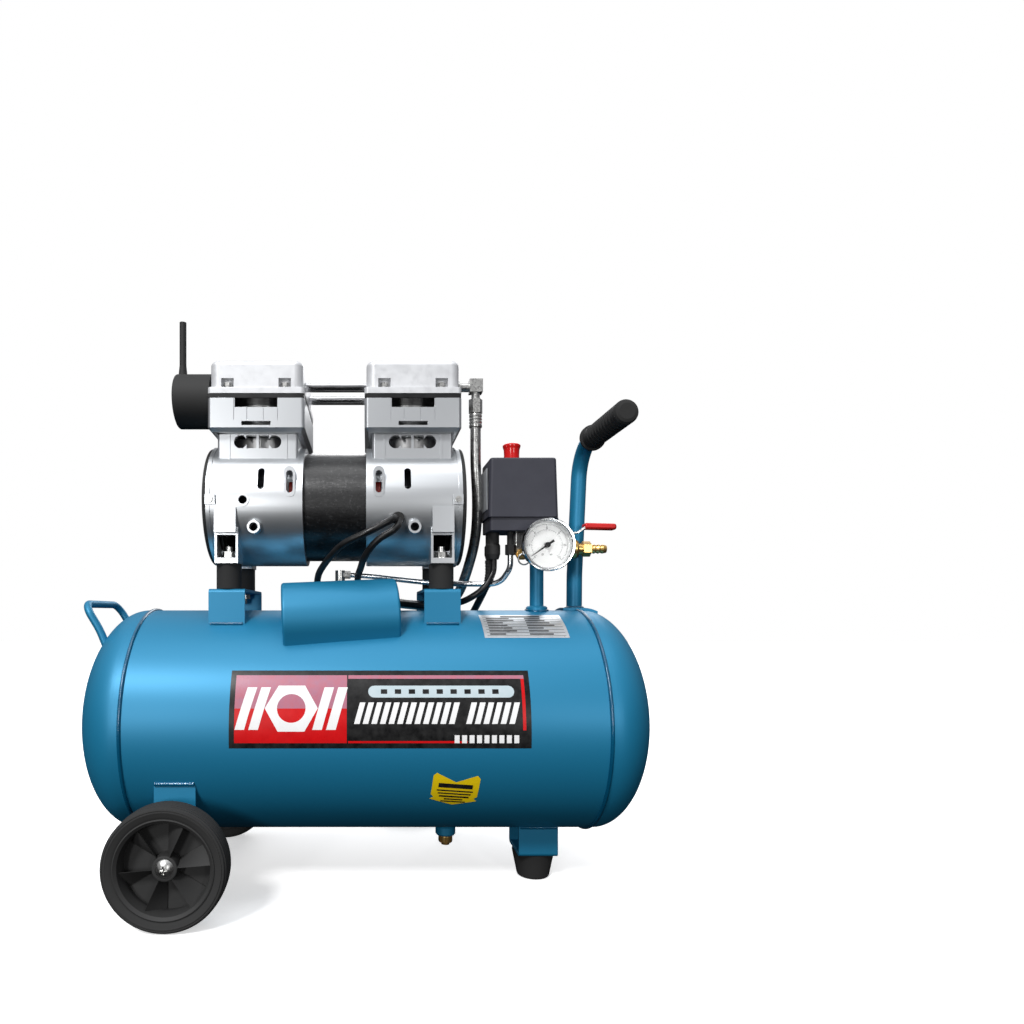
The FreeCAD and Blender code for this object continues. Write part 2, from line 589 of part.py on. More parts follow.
def make_bell(side, word):
    """A die-cast housing half: barrel, bearing wall, cylinder deck with windows, and two feet."""
    x = pump_x
    end = "pump_half - end_cover"
    barrel = rod("X", "bell_radius", x(side, "stator_half"), x(side, end), "0", "pump_axis_z")
    rim = rod("X", "bell_radius + 1", x(side, f"{end} - 4"), x(side, end), "0", "pump_axis_z")
    deck = box((head_x(side, "-block_half_x"), head_x(side, "block_half_x")), ("-block_half_y", "block_half_y"),
               ("pump_axis_z", "deck_z"))
    deck = fillet(deck, "3", lambda edge, spot: along(edge, Vector(0, 0, 1)))
    mount_x = x(side, "mount_offset")
    added = [barrel, rim, deck]
    for low, high in (("-31", "-28.5"), ("28.5", "31")):
        added.append(box((head_x(side, low), head_x(side, high)), ("-block_half_y - 0.9", "block_half_y + 0.9"),
                         ("pump_axis_z + 40", "deck_z")))
    front = "bell_radius + 1.5"
    for depth in DEPTHS:
        added.append(box((f"{mount_x} - 12", f"{mount_x} + 12"),
                         (f"{depth} * (mount_y - 14)", f"{depth} * (mount_y + 15)"),
                         ("mount_top_z", "pump_axis_z")))
        added.append(box((f"{mount_x} - 11", f"{mount_x} + 11"),
                         (f"{depth} * (mount_y + 10)", f"{depth} * ({front})"),
                         ("mount_top_z + 31", "pump_axis_z - 8")))
        added.append(box((x(side, f"{end} - 10"), x(side, f"{end}")),
                         (f"{depth} * (bell_radius - 6)", f"{depth} * (bell_radius + 3.2)"),
                         ("pump_axis_z - 6", "pump_axis_z + 4")))
    rimmed = [LOW_PORT] + ([MIDDLE_PORT] if side < 0 else [])
    for spot in rimmed:
        added.append(rod("Y", "6.6", "-bell_radius - 0.9", "-bell_radius + 16", x(side, spot[0]),
                         f"pump_axis_z + {spot[1]}"))
    added.append(slot_block(side, INNER_SLOT, 2.2, ("-bell_radius - 0.4", "-bell_radius + 12"), 13.4))
    body = fuse(*added)

    tools = [
        rod("X", "bell_radius - bell_wall - 6.3", x(side, "0"), x(side, "bearing_start"), "0", "pump_axis_z"),
        rod("X", "bell_radius - bell_wall", x(side, "bearing_end"), x(side, "pump_half"), "0", "pump_axis_z"),
        rod("X", "bearing_radius", x(side, "bearing_start - 1"), x(side, "bearing_end + 1"), "0",
            "pump_axis_z"),
        rod("Z", "sleeve_radius + 0.4", "pump_axis_z + 30", "deck_z + 1", head_x(side), "0"),
        box((head_x(side, "-37"), head_x(side, "37")), ("-block_half_y + 5", "block_half_y - 5"),
            ("deck_z - 18", "deck_z + 1")),
    ]
    through = ("-block_half_y - 5", "block_half_y + 5")
    windows = (("-24.6", "-14.6"), ("-11.8", "-1.3"), ("1.3", "11.8"), ("14.6", "24.6"))
    for index, (low, high) in enumerate(windows):
        inner = ("-19.5", "-14.6") if index == 0 else ("14.6", "19.5") if index == 3 else (low, high)
        tools.append(box((head_x(side, inner[0]), head_x(side, inner[1])), through,
                         ("deck_z - 15", "deck_z - 1.5")))
        if index in (0, 3):
            round_at = "-18" if index == 0 else "18"
            tools.append(rod("Y", "6.75", *through, head_x(side, round_at), "deck_z - 8.25"))
    for depth in DEPTHS:
        tools.append(box((f"{mount_x} - 9.6", f"{mount_x} + 9.6"),
                         (f"{depth} * (mount_y - 10)", f"{depth} * (mount_y + 20)"),
                         ("mount_top_z + foot_thickness", "mount_top_z + 29")))
        tools.append(rod("Z", "stud_radius", "mount_top_z - 1", "mount_top_z + foot_thickness + 1", mount_x,
                         f"{depth} * mount_y"))
        reach = (f"{depth} * (bell_radius - 26)", f"{depth} * (bell_radius + 5)")
        tools.append(slot_block(side, OUTER_SLOT, 0, reach))
    tools.append(slot_block(side, INNER_SLOT, 0, ("-bell_radius - 5", "-bell_radius + 14")))
    if side > 0:
        rimmed = rimmed + [LEAD_PORT]
    for spot in rimmed:
        tools.append(rod("Y", "4.4", "-bell_radius - 5", "-bell_radius + 30", x(side, spot[0]),
                         f"pump_axis_z + {spot[1]}"))
    node(f"end_bell_{word}", cut(body, *tools))


def make_motor():
    """Stator, windings, bearings, end covers, and the rotor with its cranks and fans."""
    x = pump_x
    node("stator_core", cut(
        rod("X", "stator_radius", x(-1, "stator_half"), x(1, "stator_half"), "0", "pump_axis_z"),
        rod("X", "stator_bore", x(-1, "stator_half + 1"), x(1, "stator_half + 1"), "0", "pump_axis_z")))
    coils, bearings, covers, fans = [], [], [], []
    for side, _ in SIDES:
        coils.append(cut(
            rod("X", "52", x(side, "stator_half"), x(side, "stator_half + winding_length"), "0", "pump_axis_z"),
            rod("X", "34", x(side, "stator_half - 1"), x(side, "stator_half + winding_length + 1"), "0",
                "pump_axis_z")))
        bearings.append(cut(
            rod("X", "bearing_radius", x(side, "bearing_start"), x(side, "bearing_start + bearing_width"), "0",
                "pump_axis_z"),
            rod("X", "shaft_radius + running_gap", x(side, "bearing_start - 1"),
                x(side, "bearing_start + bearing_width + 1"), "0", "pump_axis_z")))
        disc = rod("X", "bell_radius - 0.6", x(side, "pump_half - end_cover"), x(side, "pump_half"), "0",
                   "pump_axis_z")
        disc = fillet(disc, "1.6", lambda edge, spot, side=side:
                      abs(spot.x - size(x(side, "pump_half"))) < 0.1)
        vents = []
        for index in range(12):
            turn = Rotation(Vector(1, 0, 0), 30 * index)
            corner = turn.multVec(Vector(0, -3, 18))
            vent = document.addObject("Part::Box", "vent")
            vent.Length, vent.Width, vent.Height = 12, 6, 34
            place(vent, f"min({x(side, 'pump_half + 3')}; {x(side, 'pump_half - 9')})", f"{corner.y}",
                  f"pump_axis_z + {corner.z}", turn)
            vents.append(vent)
        covers.append(cut(disc, *vents))
        blades = [rod("X", "16", x(side, "pump_half - 34"), x(side, "pump_half - 16"), "0", "pump_axis_z"),
                  rod("X", "fan_radius", x(side, "pump_half - 34"), x(side, "pump_half - 32"), "0",
                      "pump_axis_z")]
        for index in range(9):
            turn = Rotation(Vector(1, 0, 0), 40 * index)
            corner = turn.multVec(Vector(0, -1, 14))
            blade = document.addObject("Part::Box", "blade")
            blade.Length, blade.Width = 17, 2
            bind(blade, "Height", "fan_radius - 15")
            place(blade, f"min({x(side, 'pump_half - 33')}; {x(side, 'pump_half - 16')})", f"{corner.y}",
                  f"pump_axis_z + {corner.z}", turn)
            blades.append(blade)
        fans.append(cut(fuse(*blades), rod("X", "shaft_radius", x(side, "pump_half - 40"), x(side, "pump_half"),
                                           "0", "pump_axis_z")))
    node("windings", group(*coils))
    node("shaft_bearings", group(*bearings))
    node("end_covers", group(*covers))
    node("cooling_fans", group(*fans))
    shaft = [rod("X", "shaft_radius", x(-1, "pump_half - 14"), x(1, "pump_half - 14"), "0", "pump_axis_z"),
             rod("X", "stator_bore - air_gap", x(-1, "stator_half"), x(1, "stator_half"), "0", "pump_axis_z")]
    for side, _ in SIDES:
        shaft.append(rod("X", "16", x(side, "bearing_end + 0.5"), x(side, "head_offset - rod_half_width - 1"),
                         "0", f"pump_axis_z - {side} * (crank_throw - 2)"))
    node("rotor", fuse(*shaft))


def make_cylinders():
    """Cylinder castings, sleeves, valve plates and heads, and a piston with its rod in each bore."""
    castings, sleeves, plates = [], [], []
    deep = ("-casting_half_y", "casting_half_y")
    for side, word in SIDES:
        x = head_x(side)

        def wide(reach):
            return (f"{x} - ({reach})", f"{x} + ({reach})")
        hull = box(wide("casting_half_x"), deep, ("deck_z", "casting_top_z"))
        corners = fillet(hull, "4", lambda edge, spot: along(edge, Vector(0, 0, 1)))
        bevel = document.addObject("Part::Chamfer", "bevel")
        document.recompute()
        low = [index for index, edge in enumerate(corners.Shape.Edges, start=1)
               if all(abs(vertex.Z - size("deck_z")) < 0.01 for vertex in edge.Vertexes)]
        bevel.Base = corners
        bevel.Edges = [(index, 3.9, 3.9) for index in low]
        inside = box(wide("casting_half_x - casting_wall"),
                     ("-casting_half_y + casting_wall", "casting_half_y - casting_wall"),
                     ("deck_z + 4.5", "casting_top_z + 1"))
        tools = [inside,
                 box(wide("22"), ("-casting_half_y - 1", "casting_half_y + 1"),
                     ("casting_top_z - 9.5", "casting_top_z + 1")),
                 box(wide("15"), ("-casting_half_y - 1", "casting_half_y + 1"),
                     ("deck_z + 6.2", "deck_z + 10.4")),
                 rod("Z", "sleeve_radius", "deck_z - 1", "casting_top_z", x, "0")]
        for depth in DEPTHS:
            for groove in ("-22.5", "-9", "8", "22.5"):
                tools.append(box((f"{x} + {groove} - 0.5", f"{x} + {groove} + 0.5"),
                                 (f"{depth} * (casting_half_y - 0.8)", f"{depth} * (casting_half_y + 1)"),
                                 ("deck_z + 11.5", "casting_top_z")))
        castings.append(cut(bevel, *tools))
        sleeve_low = "deck_z - 20"
        sleeves.append(cut(rod("Z", "sleeve_radius", sleeve_low, "casting_top_z", x, "0"),
                           rod("Z", "bore_radius", "deck_z - 21", "casting_top_z + 1", x, "0")))
        plates.append(box(wide("casting_half_x - 0.6"), ("-casting_half_y + 0.6", "casting_half_y - 0.6"),
                          ("casting_top_z", "plate_top_z")))

        flange = fillet(box(wide("casting_half_x"), deep, ("plate_top_z", "flange_top_z")), "4",
                        lambda edge, spot: along(edge, Vector(0, 0, 1)))
        dome = box(wide("head_cover_half_x"), ("-casting_half_y + 1.5", "casting_half_y - 1.5"),
                   ("flange_top_z - 1", "head_top_z"))
        dome = fillet(dome, "9", lambda edge, spot: along(edge, Vector(0, 0, 1)))
        dome = fillet(dome, "6", lambda edge, spot: spot.z > size("head_top_z") - 0.5)
        notches = []
        for depth in DEPTHS:
            for reach in ("-29.5", "29.5"):
                notches.append(rod("Z", "6.5", "flange_top_z", "flange_top_z + 9.5", f"{x} + {reach}",
                                   f"{depth} * (casting_half_y - 3)"))
        chamber = box(wide("head_cover_half_x - 6"), ("-casting_half_y + 12", "casting_half_y - 12"),
                      ("plate_top_z - 1", "head_top_z - 6"))
        ports = [rod("X", "crossover_radius", pump_x(side, "head_offset - head_cover_half_x - 1"),
                     pump_x(side, "head_offset - head_cover_half_x + 7"), f"{depth} * crossover_y", "port_z")
                 for depth in DEPTHS]
        node(f"cylinder_head_{word}", cut(fuse(flange, cut(dome, *notches)), chamber, *ports))

        piston_z = "pump_axis_z + piston_rise"
        crown = rod("Z", "bore_radius - piston_gap", f"{piston_z} - piston_thickness / 2",
                    f"{piston_z} + piston_thickness / 2", x, "0")
        beam = box(wide("rod_half_width - 1.5"), ("-9", "9"), ("pump_axis_z + eye_radius", piston_z))
        eye = rod("X", "eye_radius + eye_wall", f"{x} - rod_half_width", f"{x} + rod_half_width", "0",
                  "pump_axis_z")
        hole = rod("X", "eye_radius", f"{x} - 20", f"{x} + 20", "0", "pump_axis_z")
        node(f"piston_{word}", cut(fuse(crown, beam, eye), hole))
    node("cylinders", group(*castings))
    node("cylinder_sleeves", group(*sleeves))
    node("valve_plates", group(*plates))


def make_pump_fasteners():
    """Head bolts, end-cover screws, and the studs and nuts of the rubber mounts."""
    bolts, studs, mounts = [], [], []
    for side, _ in SIDES:
        for depth in DEPTHS:
            y = f"{depth} * (casting_half_y - 4.6)"
            for reach in ("-29.5", "29.5"):
                x = head_x(side, reach)
                head = hexagon("Z", "4.2", "flange_top_z", "flange_top_z + 5", x, y)
                collar = rod("Z", "4.4", "flange_top_z", "flange_top_z + 1", x, y)
                bolts.append(fuse(head, collar))
            lug_x = pump_x(side, "pump_half - end_cover - 5")
            lug_y = "bell_radius + 3.2"
            screw = rod("Y", "3.2", f"{depth} * ({lug_y})", f"{depth} * ({lug_y} + 1.8)", lug_x,
                        "pump_axis_z - 1")
            slit = box((f"{lug_x} - 4", f"{lug_x} + 4"),
                       (f"{depth} * ({lug_y} + 1)", f"{depth} * ({lug_y} + 3)"),
                       ("pump_axis_z - 1.5", "pump_axis_z - 0.5"))
            bolts.append(cut(screw, slit))
            mount_x = pump_x(side, "mount_offset")
            mount_y = f"{depth} * mount_y"
            mounts.append(rod("Z", "mount_radius", "bracket_top_z", "mount_top_z", mount_x, mount_y))
            under = fuse(rod("Z", "stud_radius", "bracket_top_z - 14", "bracket_top_z", mount_x, mount_y),
                         hexagon("Z", "7.2", "bracket_top_z - sheet - 5.5", "bracket_top_z - sheet", mount_x,
                                 mount_y))
            over = fuse(rod("Z", "stud_radius", "mount_top_z", "mount_top_z + 18", mount_x, mount_y),
                        rod("Z", "8.2", "mount_top_z + foot_thickness", "mount_top_z + foot_thickness + 1.2",
                            mount_x, mount_y),
                        hexagon("Z", "7.2", "mount_top_z + foot_thickness", "mount_top_z + foot_thickness + 7",
                                mount_x, mount_y))
            studs += [under, over]
    node("pump_fasteners", group(*bolts, *studs))
    node("rubber_mounts", group(*mounts))


def make_pipework():
    """Crossover tubes, intake muffler, discharge elbow and hose, check valve and unloader tube."""
    tubes = []
    for depth in DEPTHS:
        ends = (pump_x(-1, "head_offset - head_cover_half_x"), pump_x(1, "head_offset - head_cover_half_x"))
        y = f"{depth} * crossover_y"
        outer = rod("X", "crossover_radius", *ends, y, "port_z")
        bore = rod("X", "crossover_radius - 1", f"{ends[0]} - 1", f"{ends[1]} + 1", y, "port_z")
        tubes.append(cut(outer, bore))
    node("crossover_tubes", group(*tubes))

    head_end = pump_x(-1, "head_offset + head_cover_half_x")
    drum_end = f"{head_end} - 2 - muffler_length"
    drum = rod("X", "muffler_radius", drum_end, f"{head_end} - 2", "port_y", "muffler_z")
    drum = fillet(drum, "2", lambda edge, spot: spot.x < size(drum_end) + 0.1)
    spigot = rod("X", "9", f"{head_end} - 3", head_end, "port_y", "port_z")
    snorkel_x = f"{drum_end} + snorkel_radius + 1.2"
    pipe = rod("Z", "snorkel_radius", "muffler_z", "muffler_z + muffler_radius + snorkel_height", snorkel_x,
               "port_y")
    root = document.addObject("Part::Cone", "root")
    bind(root, "Radius1", "snorkel_radius + 1.2")
    bind(root, "Radius2", "snorkel_radius")
    bind(root, "Height", "12")
    place(root, snorkel_x, "port_y", "muffler_z + muffler_radius - 1")
    mouth = rod("Z", "snorkel_radius - 1.2", "muffler_z", "muffler_z + muffler_radius + snorkel_height + 1",
                snorkel_x, "port_y")
    hollow = rod("X", "muffler_radius - 2.5", f"{drum_end} + 2.5", f"{head_end} - 4.5", "port_y", "muffler_z")
    node("intake_muffler", cut(fuse(drum, spigot, pipe, root), hollow, mouth))

    right_end = pump_x(1, "head_offset + head_cover_half_x")
    elbow_x = f"{right_end} + 21.5"
    hose_top = "port_z - 45"
    pieces = [rod("X", "4.6", right_end, f"{right_end} + 16", "port_y", "port_z"),
              rod("X", "6.5", f"{right_end}", f"{right_end} + 4", "port_y", "port_z"),
              box((f"{right_end} + 14.5", f"{right_end} + 28.5"), ("port_y - 6.5", "port_y + 6.5"),
                  ("port_z - 6", "port_z + 8")),
              rod("Z", "4.6", "port_z - 20", "port_z", elbow_x, "port_y"),
              hexagon("Z", "7.4", "port_z - 28", "port_z - 13", elbow_x, "port_y")]
    node("discharge_elbow", fuse(*pieces))
    ferrule = rod("Z", "6.6", hose_top, "port_z - 28", elbow_x, "port_y")

    hose = [(elbow_x, "port_y", hose_top), (elbow_x, "port_y", f"{hose_top} - 34"),
            (f"{elbow_x} + 3", "port_y + 5", "pump_axis_z + 4"), (f"{elbow_x} + 3", "-5", "mount_top_z + 30"),
            (f"{elbow_x} - 4", "12", "mount_top_z - 4"), (f"{elbow_x} - 13", "27", "tank_top_z + 15"),
            (f"{elbow_x} - 31", "33", "tank_top_z + 4.5"), ("45", "31", "tank_top_z + 7"),
            ("18", "check_valve_y", "tank_top_z + 12"),
            ("check_valve_x + 18", "check_valve_y", "tank_top_z + 12")]
    node("discharge_hose", group(ferrule, routed("hose", hose, "hose_radius", report=True)))

    valve_x, valve_y = "check_valve_x", "check_valve_y"
    barrel = turned("Z", valve_x, valve_y, "tank_top_z - 8", [
        ("0", "0"), ("8", "0"), ("8", "8"), ("8.6", "8.6"), ("8.6", "38"), ("5.6", "40"), ("5.6", "54"),
        ("0", "54")])
    hexes = [hexagon("Z", "12", "tank_top_z", "tank_top_z + 4.5", valve_x, valve_y),
             hexagon("Z", "10.8", "tank_top_z + 26", "tank_top_z + 33", valve_x, valve_y),
             rod("X", "6", valve_x, f"{valve_x} + 13", valve_y, "tank_top_z + 12"),
             hexagon("X", "7.6", f"{valve_x} + 10", f"{valve_x} + 18", valve_y, "tank_top_z + 12"),
             hexagon("X", "4.6", valve_x, f"{valve_x} + 12", valve_y, "tank_top_z + 41")]
    node("check_valve", fuse(barrel, *hexes))

    unloader = [("switch_left + 26", "-25", "manifold_z - 8"), ("switch_left + 26", "-25", "manifold_z - 22"),
                ("switch_left + 17", "-12", "tank_top_z + 29"), ("switch_left - 6", "-5", "tank_top_z + 29"),
                (pump_x(1, "mount_offset + 2"), "5", "tank_top_z + 30"), ("45", "15", "tank_top_z + 34"),
                ("10", "27", "tank_top_z + 39"), (f"{valve_x} + 12", valve_y, "tank_top_z + 41")]
    node("unloader_tube", routed("unloader", unloader, "unloader_radius", report=True))


# ---------------------------------------------------------------- controls

def make_controls():
    """Riser and manifold, pressure switch with its knob, gauge, outlet valve and safety valve."""
    foot_ring = turned("Z", "riser_x", "riser_y", "tank_top_z - 3", [
        ("0", "0"), ("11.5", "0"), ("11.5", "6"), ("10", "7.5"), ("riser_radius", "8"),
        ("riser_radius", "switch_rise - 18"),
        ("0", "switch_rise - 18")])
    node("riser_pipe", cut(foot_ring, tank_outside()))
    half = "manifold_half"
    block = fillet(box((f"riser_x - {half} - 14", f"riser_x + {half}"),
                       (f"riser_y - {half}", f"riser_y + {half}"),
                       ("switch_z - 21", "switch_z")), "1.5", lambda edge, spot: along(edge, Vector(0, 0, 1)))
    socket = hexagon("Z", "11.8", "switch_z - 30", "switch_z - 21", "riser_x", "riser_y")
    tool = rod("Z", "riser_radius", "tank_top_z", "tank_top_z + switch_rise - 21", "riser_x", "riser_y")
    gauge_stem = rod("Y", "6", f"riser_y - {half}", "gauge_back_y", "riser_x", "manifold_z")
    gauge_hex = hexagon("Y", "8.5", "gauge_back_y + 4", "gauge_back_y + 13", "riser_x", "manifold_z")
    node("manifold_block", cut(fuse(block, socket), tool))

    base = box(("switch_left + 2", "switch_right + 1"), ("switch_front + 3", "switch_back - 2"),
               ("switch_z", "switch_cover_z"))
    base = fillet(base, "3", lambda edge, spot: along(edge, Vector(0, 0, 1)))
    node("switch_base", base)
    shell = box(("switch_left", "switch_right"), ("switch_front", "switch_back"),
                ("switch_cover_z", "switch_top_z"))
    shell = fillet(shell, "4", lambda edge, spot: along(edge, Vector(0, 0, 1)))
    shell = fillet(shell, "2.5", lambda edge, spot: spot.z > size("switch_top_z") - 0.5)
    hollow = box(("switch_left + 2.5", "switch_right - 2.5"), ("switch_front + 2.5", "switch_back - 2.5"),
                 ("switch_cover_z - 1", "switch_top_z - 2.5"))
    knob_x, knob_y = "switch_left + 30", "-12"
    port = rod("Z", "6.3", "switch_top_z - 5", "switch_top_z + 1", knob_x, knob_y)
    node("switch_cover", cut(shell, hollow, port))
    node("switch_knob", turned("Z", knob_x, knob_y, "switch_top_z - 4", [
        ("0", "0"), ("6", "0"), ("6", "knob_travel + 6"), ("8.3", "knob_travel + 9"),
        ("9.3", "knob_travel + 13"),
        ("9.3", "knob_travel + 17"), ("8.3", "knob_travel + 18.2"), ("6.2", "knob_travel + 18.2"),
        ("5.4", "knob_travel + 17.4"), ("0", "knob_travel + 17.4")]))
    glands = []
    for y in ("-14", "2"):
        collar = turned("Z", "switch_left + 10", y, "switch_z - 29", [
            ("0", "0"), ("5.4", "0"), ("6.6", "4"), ("7.2", "6"), ("7.2", "15"), ("6", "17"), ("6", "29"),
            ("0", "29")])
        glands.append(collar)
    nut = hexagon("Z", "5.8", "manifold_z - 8", "manifold_z + 3", "switch_left + 26", "-25")
    stem = rod("Z", "3.6", "manifold_z", "switch_z", "switch_left + 26", "-25")
    glands.append(fuse(nut, stem))
    node("switch_glands", group(*glands))

    case = turned("Y", "riser_x", "gauge_front_y", "manifold_z", [
        ("0", "gauge_depth"), ("gauge_radius - 6", "gauge_depth"), ("gauge_radius - 2.6", "gauge_depth - 3"),
        ("gauge_radius - 2.2", "8"), ("gauge_radius - 0.4", "7"), ("gauge_radius", "5.5"),
        ("gauge_radius", "1.4"),
        ("gauge_radius - 1", "0"), ("gauge_radius - 2.6", "0"), ("gauge_radius - 3.4", "1.2"),
        ("gauge_radius - 3.4", "12"), ("0", "12")])
    node("gauge_case", fuse(case, gauge_stem, gauge_hex))
    node("gauge_dial", rod("Y", "gauge_radius - 3.4", "gauge_front_y + 10.8", "gauge_front_y + 12", "riser_x",
                           "manifold_z"))
    node("gauge_lens", rod("Y", "gauge_radius - 3.4", "gauge_front_y + 1.6", "gauge_front_y + 3.4", "riser_x",
                           "manifold_z"))
    turn = Rotation(Vector(0, 1, 0), -215)
    blade = document.addObject("Part::Wedge", "blade")
    blade.Xmin, blade.Xmax, blade.X2min, blade.X2max = -1.3, 1.3, -0.3, 0.3
    blade.Ymin, blade.Ymax, blade.Zmin, blade.Zmax, blade.Z2min, blade.Z2max = -8, 20.5, 0, 0.7, 0, 0.7
    flat = turn.multiply(Rotation(Vector(1, 0, 0), 90)).multiply(Rotation(Vector(0, 0, 1), -90))
    place(blade, "riser_x", "gauge_front_y + 7.5", "manifold_z", flat)
    boss = rod("Y", "2.8", "gauge_front_y + 6", "gauge_front_y + 10.3", "riser_x", "manifold_z")
    node("gauge_needle", fuse(blade, boss))

    left = "riser_x + manifold_half"
    valve_y = "riser_y"
    body = turned("X", left, valve_y, "manifold_z", [
        ("valve_bore", "0"), ("7", "0"), ("7", "4"), ("8.2", "5"), ("8.2", "10"), ("valve_radius + 0.8", "12"),
        ("valve_radius + 0.8", "30"), ("valve_radius", "32"), ("6.4", "33"), ("6.4", "46"), ("4.4", "48"),
        ("5.2", "51"), ("4.2", "52.5"), ("5.2", "55.5"), ("4.2", "57"), ("5.0", "60"), ("4.2", "64"),
        ("2.8", "64"), ("2.8", "33.5"), ("valve_bore", "33.5")])
    nut = hexagon("X", "8.5", f"{left} + 38", f"{left} + 46.4", valve_y, "manifold_z")
    seat = document.addObject("Part::Sphere", "seat")
    bind(seat, "Radius", "8.1")
    place(seat, "valve_x", valve_y, "manifold_z")
    neck = rod("Z", "5.5", "manifold_z", "lever_z - 2", "valve_x", valve_y)
    stem_hole = rod("Z", "2.6", "manifold_z", "lever_z", "valve_x", valve_y)
    hose_bore = rod("X", "2.8", f"{left} + 33", f"{left} + 50", valve_y, "manifold_z")
    node("outlet_valve", cut(fuse(body, neck, nut), seat, stem_hole, hose_bore))
    ball = document.addObject("Part::Sphere", "ball")
    bind(ball, "Radius", "8")
    place(ball, "valve_x", valve_y, "manifold_z")
    bored = cut(ball, rod("X", "4", "valve_x - 12", "valve_x + 12", valve_y, "manifold_z"))
    spindle = rod("Z", "2.55", "manifold_z + 5", "lever_z + 4", "valve_x", valve_y)
    arm_width = (f"{valve_y} - 5.5", f"{valve_y} + 5.5")
    arm = box(("valve_x - 8", "valve_x + 12"), arm_width, ("lever_z", "lever_z + 2"))
    paddle = box(("valve_x + 16", "valve_x + lever_length"), (f"{valve_y} - 6.5", f"{valve_y} + 6.5"),
                 ("lever_z + 4.5", "lever_z + 11.5"))
    step = box(("valve_x + 10", "valve_x + 14.5"), arm_width, ("lever_z", "lever_z + 5.5"))
    ramp = box(("valve_x + 12.5", "valve_x + 18"), arm_width, ("lever_z + 3", "lever_z + 9"))
    paddle = fillet(paddle, "5", lambda edge, spot: along(edge, Vector(0, 0, 1))
                    and spot.x > size("valve_x + lever_length") - 1)
    arm = fillet(arm, "5", lambda edge, spot: along(edge, Vector(0, 0, 1)) and spot.x < size("valve_x"))
    node("valve_lever", fuse(bored, spindle, arm, step, ramp, paddle,
                             hexagon("Z", "4.2", "lever_z + 2", "lever_z + 5", "valve_x", valve_y)))

    relief_x, relief_z = "riser_x - 19.8", "manifold_z - 7"
    front = "riser_y - manifold_half"
    node("safety_valve", cut(
        fuse(hexagon("Y", "6.6", f"{front} - 4", front, relief_x, relief_z),
             rod("Y", "5", f"{front} - 10", front, relief_x, relief_z)),
        rod("Y", "1.25", f"{front} - 11", f"{front} - 2", relief_x, relief_z)))
    pin = rod("Y", "1.2", f"{front} - 16", f"{front} - 6", relief_x, relief_z)
    loop = ring(relief_x, f"{front} - 14.5", f"{relief_z} - 6", "6", "0.8", "Y")
    node("safety_ring", fuse(pin, loop))


# ---------------------------------------------------------------- leads and mains cord

